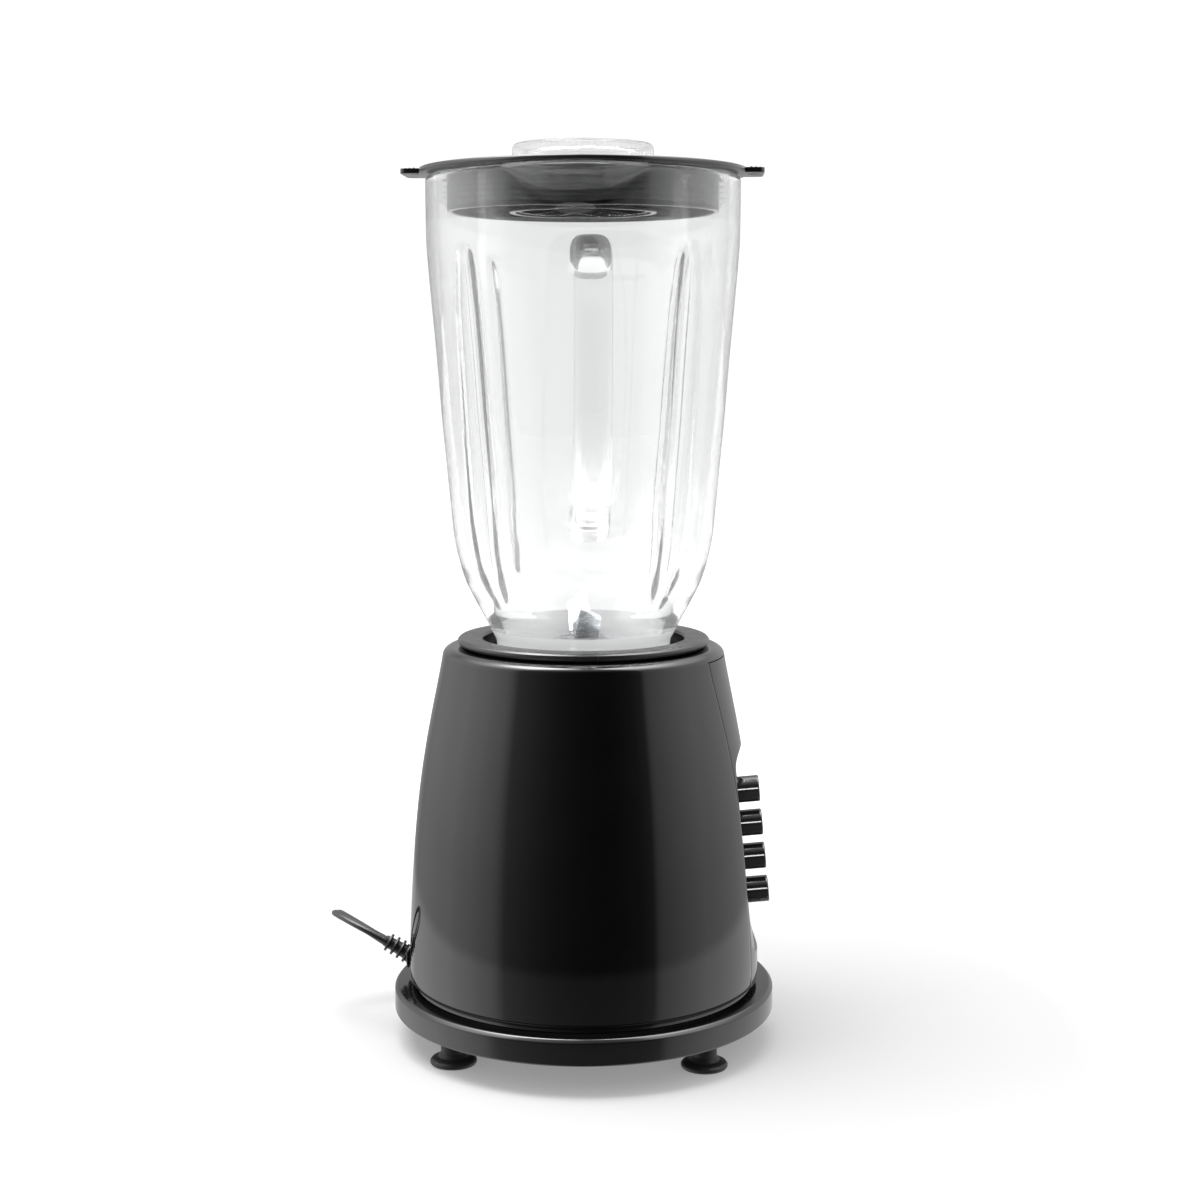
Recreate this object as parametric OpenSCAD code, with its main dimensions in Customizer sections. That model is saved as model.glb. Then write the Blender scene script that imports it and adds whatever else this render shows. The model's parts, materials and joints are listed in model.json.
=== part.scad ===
// Countertop blender: glass jar with a moulded glass handle on a conical motor base,
// four push-buttons on a recessed front fascia, lift-off lid with a clear filler cap.
// Millimetres, +Z up, front (buttons) towards -Y, jar handle towards +X, spout towards -X.
// Every module is drawn about the drive axis; at_axis() moves it to the row frame,
// whose origin is the middle of the footprint box on the counter.

/* [Base] */
// Outer radius of the base plate's rim
base_r = 84.2; // [83.8:0.1:84.6]
// Height of the rim's underside above the counter
rim_z = 13.6; // [13:0.1:14]
// Height of the rim's top face above the counter
lip_z = 25; // [24.6:0.1:25.4]
// Wall thickness of the motor housing
shell_t = 2.5; // [2:0.1:3]
// Radius of the suction foot's disc
foot_r = 10; // [9:0.5:11]
// Distance of each foot from the drive axis, in X and in Y
foot_x = 44; // [42:0.1:46]
foot_y = 53.7; // [52:0.1:55]

/* [Controls] */
// Diameter of a push-button
button_d = 11.6; // [11:0.1:12]
// How far a button stands out of its panel
button_out = 9.8; // [8:0.1:11]
// Distance between buttons
button_pitch = 15.05; // [14.5:0.05:15.5]
// Gap round a button in its hole
button_gap = 0.3; // [0.2:0.05:0.4]

/* [Jar] */
// Height of the jar's rim above the counter
jar_top_z = 377.2; // [376:0.1:378]
// Thickness of the glass wall
glass_t = 4; // [3.6:0.1:4.4]
// Depth that the four flutes are pressed in, as the crest's start radius
flute_r = 67.2; // [66.8:0.1:67.6]
// Outermost reach of the handle from the drive axis
handle_reach = 108.2; // [106:0.1:110]
// Width of the handle
handle_w = 20; // [17:0.5:21]

/* [Blade unit] */
// Reach of the upper blade's arms
blade_up_r = 24; // [20:0.5:26]
// Reach of the lower blade's arms
blade_low_r = 27; // [22:0.5:28]
// Thickness of the blade steel
blade_t = 1.4; // [1:0.1:2]

/* [Lid] */
// Radius of the lid's flange
lid_r = 70.4; // [69.5:0.1:71]
// Radius of the lid's plug inside the jar's mouth
plug_r = 58; // [57:0.1:59]
// Radius of the filler cap above the lid
cap_r = 30.3; // [29.5:0.1:30.5]

/* [Mains lead] */
// Width of the flat twin flex
flex_w = 5.2; // [5:0.1:6]
// Thickness of the flat twin flex
flex_t = 3; // [2.8:0.1:3.4]

/* [Hidden] */
$fn = 96;

// height of the hole for the lead
relief_z = 33.4;

// drive axis measured from the footprint's middle, the free lead left out
axis_x = -(handle_reach - base_r) / 2;
axis_y = -2.7;
module at_axis() translate([axis_x, axis_y, 0]) children();

// outer profile of the motor housing, [radius, height], foot to shoulder
housing_profile = [[76.6, 27.5], [77.3, 28.2], [77.4, 38], [77.2, 46], [76.7, 58], [76.0, 70], [75.1, 84], [74.1, 97],
  [72.8, 109], [71.2, 121], [69.3, 132.5], [67.2, 143.5], [65.3, 153.5], [63.6, 162], [62.2, 169], [61.5, 172.6]];
shoulder = [[61.1, 173.7], [60.2, 174.6], [58.8, 175.2], [57, 175.4], [46.6, 175.4]];

function shift_in(p, d) = [for (q = p) [q[0] - d, q[1]]];
// angles of the screws that hold the base plate
plate_a = [20, 160, 247, 293];

/* --- base --- */
module at_feet() for (s = [-1, 1]) for (t = [-1, 1]) translate([s * foot_x, t * foot_y, 0]) children();
module base_plate() color("#262628") difference() {
  union() {
    rotate_extrude() polygon([[12, 16], [74.6, 16], [74.6, 22.6], [81.8, 22.6], [81.8, rim_z],
      [base_r - 0.6, rim_z], [base_r, rim_z + 0.6], [base_r, lip_z - 1.6], [base_r - 0.5, lip_z - 0.5],
      [base_r - 1.6, lip_z], [74.6, lip_z], [74.6, 33], [72.4, 33], [72.4, 18.4], [12, 18.4]]);
    at_feet() translate([0, 0, rim_z]) cylinder(r = 7.5, h = 3.6);
    for (a = plate_a) rotate(a) translate([67, 0, 14.6]) cylinder(r = 4.8, h = 6);
    // ring round the motor's air inlet
    translate([0, 0, 17.4]) difference() { cylinder(r = 40, h = 4); translate([0, 0, -1]) cylinder(r = 38, h = 6); }
  }
  at_feet() cylinder(r = 3.2, h = 40);
  for (a = plate_a) rotate(a) translate([67, 0, 0]) { cylinder(r = 1.6, h = 40); cylinder(r = 3.8, h = 17); }
  // notch for the lead's strain relief
  translate([-8, 70, 26]) cube([16, 10, 10]);
  // air slots
  for (k = [0:17]) rotate(k * 20 + 10) translate([20, -1.6, 0]) cube([14, 3.2, 40]);
  for (k = [0:23]) rotate(k * 15 + 7.5) translate([42.5, -1.6, 0]) cube([14, 3.2, 40]);
}

module rubber_feet() color("#19191a")
  at_feet()
    rotate_extrude() polygon([[0, 0.9], [6, 0.9], [7, 0], [foot_r - 0.6, 0], [foot_r, 0.6], [foot_r, 1.8], [foot_r - 0.6, 2.5],
      [6.4, 3.6], [5.3, 5.4], [5.2, rim_z], [3.1, rim_z], [3.1, 19.2], [0, 19.2]]);

module plate_screws() color("#8d8f92")
  for (a = plate_a) rotate(a) translate([67, 0, 0]) {
    difference() { translate([0, 0, 14.7]) cylinder(r = 3.5, h = 2.3); translate([-2.5, -0.4, 14]) cube([5, 0.8, 1.6]); translate([-0.4, -2.5, 14]) cube([0.8, 5, 1.6]); }
    translate([0, 0, 17]) cylinder(r = 1.5, h = 30);
  }

module housing_solid(grow = 0) rotate_extrude()
  polygon(concat([[0, 27.5]], shift_in(housing_profile, -grow), shift_in(shoulder, 0), [[0, 175.4]]));
module housing_void(t, top) rotate_extrude()
  polygon(concat([[0, 20], [77.4 - t, 20], [77.4 - t, 38]], [for (q = housing_profile) if (q[1] > 40) [q[0] - t, q[1]]], [[61.5 - t, top], [0, top]]));

// the front piece's outline seen from the front, grown by g
module fascia_window(g = 0) rotate([90, 0, 0]) linear_extrude(height = 100)
  polygon([[-22 - g, 20], [22 + g, 20], [28.7 + g, 172 + g], [-28.7 - g, 172 + g]]);

module motor_housing() color("#1b1b1d") difference() {
  union() {
    difference() { housing_solid(); housing_void(shell_t, 175.4 - shell_t); }
    // screw posts with a web to the wall
    for (a = plate_a) rotate(a) translate([67, 0, 0]) { translate([0, 0, 20.8]) cylinder(r = 4.2, h = 38); translate([0, -1.25, 33.6]) cube([9, 2.5, 25.2]); }
    // motor posts hanging from the shoulder
    for (a = [45:90:315]) rotate(a) translate([52, 0, 138]) cylinder(r = 4.6, h = 36);
  }
  fascia_window(0.15);
  translate([0, 0, 160]) cylinder(r = 46.6, h = 40);
  for (a = plate_a) rotate(a) translate([67, 0, 10]) cylinder(r = 1.55, h = 40);
  for (a = [45:90:315]) rotate(a) translate([52, 0, 130]) cylinder(r = 1.55, h = 24);
  // cord exit at the back
  translate([0, 60, relief_z]) rotate([-90, 0, 0]) cylinder(r = 4.1, h = 30);
}

// panel line: distance of the recessed panel from the axis at height z
function panel_y(z) = 66.8 + (124.8 - z) * 0.0983;
panel_tilt = atan(0.0983);
button_z = [for (i = [0:3]) 111 - i * button_pitch];

// moves children to a button's root on the panel, with +Z along the button's own axis, outwards
module at_button(i) translate([0, -panel_y(button_z[i]), button_z[i]]) rotate([90 - panel_tilt, 0, 0]) children();

// moves children to the middle of the button row, with +Z outwards
module at_panel() translate([0, -panel_y(88.4), 88.4]) rotate([90 - panel_tilt, 0, 0]) children();
module housing_band(t1, t2) difference() { housing_void(t1, 171.9); housing_void(t2, 200); }
module front_fascia() color("#1d1d1f") difference() {
  union() {
    intersection() {
      difference() { housing_solid(); housing_void(8, 200); }
      fascia_window(-0.05);
      translate([-50, -100, 27.5]) cube([100, 100, 144.4]);
    }
    // lips that lie behind the housing's edges
    intersection() {
      housing_band(2.8, 5);
      fascia_window(4);
      translate([-50, -100, 64]) cube([100, 100, 100]);
    }
    // posts for the switch bracket
    for (x = [-14, 14], y = [-28, 28]) at_panel() translate([x, y, -33]) cylinder(r = 3, h = 30);
  }
  // recess: a flat tilted panel with scooped ends
  translate([-40, 0, 0]) rotate([90, 0, 90]) linear_extrude(height = 80)
    polygon([[-66.8, 124.8], [-67.0, 127], [-67.7, 129.4], [-68.8, 131.4], [-70.6, 133.2], [-90, 146], [-90, 34], [-78.4, 39.6],
      [-76.6, 41.6], [-75.2, 44.6], [-74.4, 47.6], [-74.1, 50.5]]);
  for (i = [0:3]) at_button(i) translate([0, 0, -30]) cylinder(d = button_d + 2 * button_gap, h = 40);
  for (x = [-14, 14], y = [-28, 28]) at_panel() translate([x, y, -40]) cylinder(r = 1.25, h = 20);
  // room for the base plate's neck
  translate([0, 0, 20]) cylinder(r = 74.9, h = 13.6);
}

module push_button(i) at_button(i) {
  rotate_extrude() polygon([[0, -5.2], [button_d / 2, -5.2], [button_d / 2, button_out - 1.4], [button_d / 2 - 0.25, button_out - 0.6],
    [button_d / 2 - 0.8, button_out - 0.15], [button_d / 2 - 1.6, button_out], [0, button_out]]);
  translate([0, 0, -7]) cylinder(r = 7.1, h = 1.8);
  translate([-1.5, -1.5, -19]) cube([3, 3, 12.2]);
}
module button_off() color("#202022") push_button(0);
module button_low() color("#202022") push_button(1);
module button_high() color("#202022") push_button(2);
module button_pulse() color("#202022") push_button(3);

// latching switch: a body with four sockets for the buttons' stems
module switch_block() color("#e2ded2") difference() {
  at_panel() translate([-10.5, -32, -33]) cube([21, 64, 19]);
  for (i = [0:3]) at_button(i) translate([-2, -2, -24.5]) cube([4, 4, 20]);
}
module switch_bracket() color("#9a9c9e") at_panel() difference() {
  translate([-17.5, -33.5, -35]) cube([35, 67, 2]);
  for (x = [-14, 14], y = [-28, 28]) translate([x, y, -40]) cylinder(r = 1.6, h = 20);
}
module switch_screws() color("#8d8f92") for (x = [-14, 14], y = [-28, 28]) at_panel() translate([x, y, 0]) {
  translate([0, 0, -37]) cylinder(r = 2.8, h = 2);
  translate([0, 0, -36]) cylinder(r = 1.2, h = 14);
}

// socket that takes the jar's collar, with its visible top ring
module jar_seat() color("#2a2a2c") {
  difference() {
    rotate_extrude() polygon([[9, 147.6], [46.2, 147.6], [46.2, 175.6], [53.6, 175.6], [54.3, 176.2], [55, 177], [55, 178.6], [54.6, 179.1],
      [54, 179.3], [44.8, 179.3], [44.2, 179.0], [44, 178.4], [44, 150], [13, 150], [11.5, 151.6], [9, 151.6]]);
    for (k = [0:3]) rotate(k * 90 + 45) translate([34, 0, 140]) cylinder(r = 2.2, h = 20);
  }
  for (k = [0:3]) rotate(k * 90 + 22.5) translate([42.9, -2.5, 149.5]) cube([2, 5, 20]);
}

/* --- motor --- */
module motor_stator() color("#6f7174") difference() {
  intersection() {
    translate([-33, -26, 82]) cube([66, 52, 28]);
    translate([0, 0, 80]) cylinder(r = 39, h = 32);
  }
  translate([0, 0, 70]) cylinder(r = 18.6, h = 60);
  // slots on both sides of each pole
  for (s = [-1, 1], t = [-1, 1]) translate([s * 22.5 - 4.5, t > 0 ? 8.2 : -17, 70]) cube([9, 8.8, 60]);
  for (x = [-28, 28], y = [-20, 20]) translate([x, y, 70]) cylinder(r = 2.1, h = 60);
}
module field_coils() color("#b0602c")
  for (s = [-1, 1]) translate([s * 22.5, 0, 0]) difference() {
    translate([-4, -16.5, 76]) cube([8, 33, 40]);
    translate([-5, -8.3, 81.9]) cube([10, 16.6, 28.2]);
  }
module motor_lower_bracket() color("#b9bbbd") {
  difference() {
    union() {
      translate([-7, -32, 58]) cube([14, 64, 2.5]);
      for (y = [-24, 16]) translate([-33, y, 58]) cube([66, 8, 2.5]);
      translate([0, 0, 58]) cylinder(r = 12, h = 2.5);
      for (x = [-28, 28], y = [-20, 20]) translate([x, y, 58]) cylinder(r = 3.5, h = 24);
    }
    translate([0, 0, 50]) cylinder(r = 7, h = 20);
    for (x = [-28, 28], y = [-20, 20]) translate([x, y, 50]) cylinder(r = 2.1, h = 40);
  }
}
module motor_upper_bracket() color("#b9bbbd") difference() {
  union() {
    for (a = [45, 135]) rotate(a) translate([-57.6, -6, 126]) cube([115.2, 12, 3]);
    for (y = [-24, 16]) translate([-33, y, 126]) cube([66, 8, 3]);
    translate([0, 0, 126]) cylinder(r = 14, h = 3);
    for (x = [-28, 28], y = [-20, 20]) translate([x, y, 110]) cylinder(r = 3.5, h = 19);
  }
  translate([0, 0, 120]) cylinder(r = 7, h = 20);
  for (x = [-28, 28], y = [-20, 20]) translate([x, y, 100]) cylinder(r = 2.1, h = 40);
  for (a = [45:90:315]) rotate(a) translate([52, 0, 120]) cylinder(r = 4.2, h = 20);
}
module motor_bolts() color("#8d8f92") for (x = [-28, 28], y = [-20, 20]) translate([x, y, 55.6]) {
  cylinder(r = 3.5, h = 2.4);
  cylinder(r = 2, h = 75);
  translate([0, 0, 73.4]) cylinder(r = 3.4, h = 2.4, $fn = 6);
}
module bracket_screws() color("#8d8f92") for (a = [45:90:315]) rotate(a) translate([52, 0, 121.4]) {
  cylinder(r = 3.5, h = 2.2);
  cylinder(r = 1.5, h = 30);
}
module mount_grommets() color("#2b2b2b") for (a = [45:90:315]) rotate(a) translate([52, 0, 123.6]) difference() {
  union() { cylinder(r = 4.1, h = 14.4); cylinder(r = 5.6, h = 2.4); translate([0, 0, 5.4]) cylinder(r = 5.6, h = 2.2); }
  translate([0, 0, -1]) cylinder(r = 1.6, h = 20);
}
module lower_bush() color("#b08d57") difference() { translate([0, 0, 55]) cylinder(r = 6.98, h = 8); translate([0, 0, 50]) cylinder(r = 4.05, h = 20); }
module upper_bush() color("#b08d57") difference() { translate([0, 0, 125]) cylinder(r = 6.98, h = 8); translate([0, 0, 120]) cylinder(r = 4.05, h = 20); }
module brush_holders() color("#3c2a1e")
  for (s = [-1, 1]) difference() {
    translate([-5, s > 0 ? 11.5 : -31.5, 60.5]) cube([10, 20, 14]);
    translate([-2.6, s > 0 ? 5 : -30, 67]) cube([5.2, 25, 5.2]);
  }
module carbon_brushes() color("#3a3a3a")
  for (s = [-1, 1]) translate([-2.5, s > 0 ? 10.5 : -22.5, 67.1]) cube([5, 12, 5]);
// light coil springs that press the brushes on the commutator
module brush_springs() color("#c9ccd0") for (s = [0, 180]) rotate(s)
  tube([for (i = [0:44]) [1.9 * cos(i * 45), 22.9 + i * 6.7 / 44, 69.6 + 1.9 * sin(i * 45)]], 0.35, 5);
module motor_shaft() color("#c6c8ca") translate([0, 0, 44]) cylinder(r = 4, h = 114);
module rotor_core() color("#74767a") translate([0, 0, 82]) difference() {
  cylinder(r = 18.1, h = 28);
  for (k = [0:11]) rotate(k * 30) translate([15.6, -1, -1]) cube([5, 2, 30]);
  translate([0, 0, -1]) cylinder(r = 4, h = 30);
}
module rotor_windings() color("#b5652d") {
  difference() { translate([0, 0, 110]) cylinder(r1 = 16, r2 = 12, h = 7); translate([0, 0, 100]) cylinder(r = 4, h = 30); }
  difference() { translate([0, 0, 76]) cylinder(r1 = 12, r2 = 16, h = 6); translate([0, 0, 70]) cylinder(r = 4, h = 30); }
}
module commutator() color("#c98a4b") difference() {
  translate([0, 0, 64]) cylinder(r = 10.2, h = 12);
  translate([0, 0, 60]) cylinder(r = 4, h = 20);
  for (k = [0:11]) rotate(k * 30 + 15) translate([8.6, -0.3, 63]) cube([3, 0.6, 9]);
}
module cooling_fan() color("#d8d8d4") {
  difference() { translate([0, 0, 45]) cylinder(r = 30, h = 1.6); translate([0, 0, 40]) cylinder(r = 4, h = 20); }
  difference() { translate([0, 0, 46.6]) cylinder(r = 8, h = 6); translate([0, 0, 40]) cylinder(r = 4, h = 20); }
  for (k = [0:8]) rotate(k * 40) translate([7.5, -0.7, 46.6]) rotate([0, 0, 12]) cube([21, 1.4, 6]);
}
module shaft_slinger() color("#4a4a4c") difference() { translate([0, 0, 140]) cylinder(r = 14, h = 1.6); translate([0, 0, 130]) cylinder(r = 4, h = 20); }
module star(r_core, r_lobe, z, h) { translate([0, 0, z]) cylinder(r = r_core, h = h); for (k = [0:5]) rotate(k * 60) translate([8.5, 0, z]) cylinder(r = r_lobe, h = h, $fn = 32); }
module drive_coupling() color("#2e2e30") difference() {
  star(8.5, 3.1, 152.4, 7.4);
  translate([0, 0, 140]) cylinder(r = 4, h = 18);
}
module thermal_fuse() color("#e8e4da") translate([36.3, -8, 92]) rotate([90, 0, 0]) cylinder(r = 3.2, h = 16);
module suppressor() color("#c9a227") translate([9.5, 15.2, 60.6]) cube([13.5, 8, 13]);
// leads from the strain relief through the clamp to the switch, and on to the motor
module wiring_loom() color("#7a3030") {
  tube([[0, 68.4, relief_z], [0, 64, 30.6], [0, 60, 26.2], [0, 55.8, 24.4], [0, 45, 24.4], [8, 42.6, 24.4], [30, 40, 24.4], [41, 33, 24.4], [46, 20, 24.4], [46, -14, 25.4], [46, -20, 32], [46, -24, 60], [42, -36, 76], [30, -44, 86], [11, -46, 88]], 1.7);
  tube([[46, 4, 27.4], [46, 4, 60], [42, 4, 72], [35, 3, 78], [27, 2, 79]], 1.2);
}
module cord_clamp() color("#d5d2c8") difference() {
  translate([-9, 46, 18.4]) cube([18, 9, 9]);
  translate([0, 40, 24.4]) rotate([-90, 0, 0]) cylinder(r = 2, h = 30);
  for (s = [-1, 1]) translate([s * 6.3, 50.5, 10]) cylinder(r = 1.2, h = 30);
}

/* --- jar --- */
jar_outer = [[38, 160], [38, 177.5], [39.2, 180], [42.2, 186.4], [44.6, 190.9], [47.2, 195.6], [51.2, 204.2], [54.0, 212.4], [55.9, 221.7],
  [56.9, 230.4], [57.8, 240], [60.9, 273.7], [63.7, 308], [65.9, 333], [67.0, 350], [67.2, 360]];
jar_inner = [[33, 159], [33, 178], [34.2, 181.4], [37, 187.4], [40.6, 194], [45.4, 202.6], [49.2, 211.6], [51.6, 221.7],
  [52.9, 230.4], [53.8, 240], [56.9, 273.7], [59.7, 308], [61.8, 333], [62.6, 346], [62.6, 361]];
// slope of a flute's crest, in radius per height
flute_slope = 0.123;

// a V-shaped trough whose crest starts at the wall near the mouth and sinks in towards the floor
module flute(inset = 0) for (a = [45:90:315]) rotate(a)
  translate([flute_r - inset, 0, 352]) rotate([0, atan(flute_slope), 0]) translate([0, 0, -168])
    linear_extrude(height = 200) polygon([[0, -1.6], [8.4, -22], [30, -40], [30, 40], [8.4, 22], [0, 1.6], [-0.5, 0]]);

// centre line of the handle in the X-Z plane, and its thickness
handle_line = [[60, 347], [72, 348.2], [84, 348.4], [92, 346.6], [98, 342], [101.2, 335], [102.2, 325], [102.0, 310], [100.4, 294], [97, 278], [91.6, 262], [85, 249], [77, 238], [68, 229.5], [60, 225], [48, 222]];
handle_half = [10.2, 8.8, 7.6, 7.0, 6.6, 6.3, handle_reach - 102.2, 6, 6, 6, 6, 6.2, 6.8, 7.8, 9.4, 9.6];
function unit(v) = v / norm(v);
function side_pt(i, s) = let (n = len(handle_line), a = handle_line[max(i - 1, 0)], b = handle_line[min(i + 1, n - 1)], d = unit(b - a))
  handle_line[i] + s * handle_half[i] * [-d[1], d[0]];
module handle_bar() rotate([90, 0, 0]) translate([0, 0, -handle_w / 2]) linear_extrude(height = handle_w)
  polygon(concat([for (i = [0:len(handle_line) - 1]) side_pt(i, 1)], [for (i = [len(handle_line) - 1:-1:0]) side_pt(i, -1)]));

// flared pouring lip: a cone standing off the wall
module spout(t, h) translate([-40, 0, 361]) cylinder(r1 = 27 - t, r2 = 27 - t + 8.6 * h / 16.2, h = h);

module glass_jar() color([0.85, 0.9, 0.92, 0.4]) difference() {
  union() {
    difference() {
      union() {
        rotate_extrude() polygon(concat([[0, 160]], jar_outer, [[67.2, jar_top_z - 1], [66.4, jar_top_z], [0, jar_top_z]]));
        spout(0, jar_top_z - 361);
      }
      flute(0);
    }
    intersection() { handle_bar(); translate([30, -30, 200]) cube([100, 60, 170]); }
  }
  difference() {
    union() {
      rotate_extrude() polygon(concat([[0, 159]], jar_inner, [[62.6, jar_top_z + 1], [0, jar_top_z + 1]]));
      translate([0, 0, 0.01]) spout(3.8, 20);
    }
    flute(glass_t + 0.2);
  }
}

module retaining_collar() color("#242426") difference() {
  union() {
    rotate_extrude() polygon([[27, 153.6], [36, 153.6], [36, 150.3], [41, 150.3], [42.4, 151.7], [42.4, 172.2], [41.8, 173], [38.4, 173], [38.4, 155.6], [27, 155.6]]);
    for (k = [0:15]) rotate(k * 22.5 + 11.25) translate([41.8, -1.4, 156]) cube([1.5, 2.8, 15]);
  }
}
module blade_gasket() color("#d9d4c8") difference() { translate([0, 0, 157.6]) cylinder(r = 37.6, h = 2.4); translate([0, 0, 150]) cylinder(r = 31.4, h = 20); }
module blade_holder() color("#c9cccf") rotate_extrude() polygon([[6.5, 165.4], [9.5, 165.4], [18.4, 165.4], [28.4, 155.6], [37.8, 155.6], [37.8, 157.6], [30.4, 157.6], [28.6, 160],
  [20.4, 168.2], [12.4, 170.4], [11, 172], [10.4, 176.6], [9.4, 177.6], [6.5, 177.6]]);
module blade_bush() color("#b08d57") difference() { translate([0, 0, 165.6]) cylinder(r = 6.48, h = 11.8); translate([0, 0, 160]) cylinder(r = 4.05, h = 30); }
module blade_shaft() color("#c6c8ca") { translate([0, 0, 161.6]) cylinder(r = 4, h = 17.6); translate([0, 0, 179.2]) cylinder(r = 2.6, h = 8); }
module driven_coupling() color("#2e2e30") difference() {
  union() { translate([0, 0, 153]) cylinder(r = 16, h = 11); translate([0, 0, 164]) cylinder(r = 7, h = 0.8); }
  star(8.9, 3.5, 150, 10.2);
  translate([0, 0, 161.6]) cylinder(r = 4, h = 10);
}
// one pair of blade arms: flat root, then arms bent by ang
module blade_pair(z, reach, ang, w) {
  root = 9;
  difference() {
    union() {
      translate([-root, -w / 2, z]) cube([2 * root, w, blade_t]);
      for (s = [0, 180]) rotate(s) translate([root - 0.3, 0, z]) rotate([0, -ang, 0]) translate([0, -w / 2, 0])
        linear_extrude(height = blade_t) polygon([[-0.6, 0.3], [(reach - root) / cos(ang), w * 0.14], [(reach - root) / cos(ang) - w * 0.55, w - 0.3], [-0.6, w - 0.3]]);
    }
    translate([0, 0, z - 5]) cylinder(r = 2.6, h = 12);
  }
}
module lower_blade() color("#d4d7da") rotate(100) blade_pair(179.2, blade_low_r, -14, 12);
module upper_blade() color("#d4d7da") rotate(10) blade_pair(180.6, blade_up_r, 42, 11);
module blade_nut() color("#c9ccd0") difference() {
  union() { translate([0, 0, 182]) cylinder(r = 5.4, h = 4.2, $fn = 6); translate([0, 0, 186.2]) cylinder(r1 = 4.4, r2 = 2.4, h = 2.4); }
  translate([0, 0, 180]) cylinder(r = 2.6, h = 7.2);
}

/* --- lid --- */
module lid() color("#1c1c1e") difference() {
  union() {
    rotate_extrude() polygon([[31.6, 361.4], [31.6, 378.2], [55.6, 378.2], [55.6, 361.4], [plug_r, 361.4], [plug_r, 377.6],
      [lid_r - 0.8, 377.6], [lid_r, 378.2], [lid_r, 379.4], [lid_r - 0.8, 380.1], [34, 380.9], [32, 382], [31.2, 382], [30.8, 381.6], [30.8, 379], [28.9, 379], [28.9, 361.4]]);
    // thumb tabs at the front and the back
    for (s = [-1, 1]) translate([-13, s > 0 ? 60 : -77, 377.6]) cube([26, 17, 2.2]);
  }
  for (s = [-1, 1]) for (k = [0:2]) translate([-9, s * (72 + k * 1.7) - 0.35, 379.2]) cube([18, 0.7, 3]);
}
module lid_seal() color([0.8, 0.82, 0.83, 0.6]) rotate_extrude() polygon(concat([[plug_r + 0.05, 363.6], [plug_r + 1.1, 363.6]],
  [for (k = [0:4]) each [[plug_r + 1.1, 365.2 + k * 2.3], [62.3, 365.9 + k * 2.3], [62.3, 366.3 + k * 2.3], [plug_r + 1.1, 366.2 + k * 2.3]]],
  [[plug_r + 1.1, 376.8], [plug_r + 0.05, 376.8]]));
module filler_cap() color([0.9, 0.92, 0.93, 0.5]) rotate_extrude() polygon([[26, 362], [28.3, 362], [28.3, 379.3], [cap_r - 0.4, 379.3], [cap_r, 379.7],
  [cap_r, 388.2], [cap_r - 0.5, 389.6], [cap_r - 1.8, 390.4], [0, 390.4], [0, 387.8], [cap_r - 3.2, 387.8], [26, 386.4]]);

/* --- mains lead --- */
relief_dir = 30;
module strain_relief() color("#232325") {
  translate([0, 69, relief_z]) rotate([-90, 0, 0]) difference() { union() { cylinder(r = 3.9, h = 8.6); translate([0, 0, 3.2]) cylinder(r = 5.4, h = 2); } translate([0, 0, -1]) cylinder(r = 1.9, h = 5); }
  intersection() {
    translate([0, 77, relief_z]) rotate([-(90 - relief_dir), 0, 0]) {
      translate([0, 0, -2]) cylinder(r1 = 4.1, r2 = 2.6, h = 15);
      for (k = [0:3]) translate([0, 0, 2.4 + k * 3.1]) cylinder(r = 4.6 - k * 0.15, h = 1.2);
    }
    translate([-10, 77.55, 25]) cube([20, 30, 30]);
  }
}
// route of the lead from its strain relief to the coil, drive-axis frame
cord_route = [[0, 77 + 13 * cos(30), relief_z + 13 * sin(30)], [0.08, 93.44, 42.86], [1.13, 98.69, 45.48], [3.66, 103.73, 47.4], [7.47, 108.18, 48.47], [12.28, 111.69, 48.61], [17.71, 114, 47.82], [23.35, 114.93, 46.15], [28.76, 114.4, 43.72], [33.54, 112.47, 40.73], [37.3, 109.28, 37.41], [39.77, 105.09, 33.96], [41.73, 100.6, 30.54], [43.86, 96.2, 27.11], [46.2, 91.9, 23.68], [48.75, 87.73, 20.26], [51.56, 83.72, 16.83], [54.64, 79.92, 13.4], [58.02, 76.38, 9.98], [61.88, 73, 6.94], [66.39, 69.79, 4.7], [71.46, 66.96, 3.32], [76.92, 64.62, 2.85], [82.6, 62.77, 2.85], [88.41, 61.36, 2.85], [94.28, 60.3, 2.85], [100.2, 59.5, 2.85], [106.15, 58.9, 2.85], [112.11, 58.3, 2.85], [118.2, 57.2, 2.7]];
// from the coil to the plug
plug_route = [[159.8, 14, 8.1], [159.9, 8, 8.1], [159.6, 2, 8.0], [158.6, -4, 7.8], [156.8, -10, 7.5], [154.8, -15, 7.2], [153.4, -19.6, 6.9], [153, -23, 6.9], [153, -26, 6.9]];
module tube(pts, r, n = 8) {
  m = len(pts);
  function dirv(i) = unit(pts[min(i + 1, m - 1)] - pts[max(i - 1, 0)]);
  function ringp(i) = let (d = dirv(i), s = unit(cross(d, [0.3, 0.1, 1])), u = cross(s, d)) [for (k = [0:n - 1]) pts[i] + r * (cos(360 * k / n) * s + sin(360 * k / n) * u)];
  polyhedron(points = [for (i = [0:m - 1]) each ringp(i)],
    faces = concat([[for (k = [0:n - 1]) k]], [for (i = [0:m - 2]) for (k = [0:n - 1]) [i * n + k, (i + 1) * n + k, (i + 1) * n + (k + 1) % n, i * n + (k + 1) % n]],
      [[for (k = [n - 1:-1:0]) (m - 1) * n + k]]));
}
coil_c = [126, 20];
module power_cord() color("#222224") {
  tube(cord_route, 2.2);
  tube(plug_route, 2.2);
}
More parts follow.
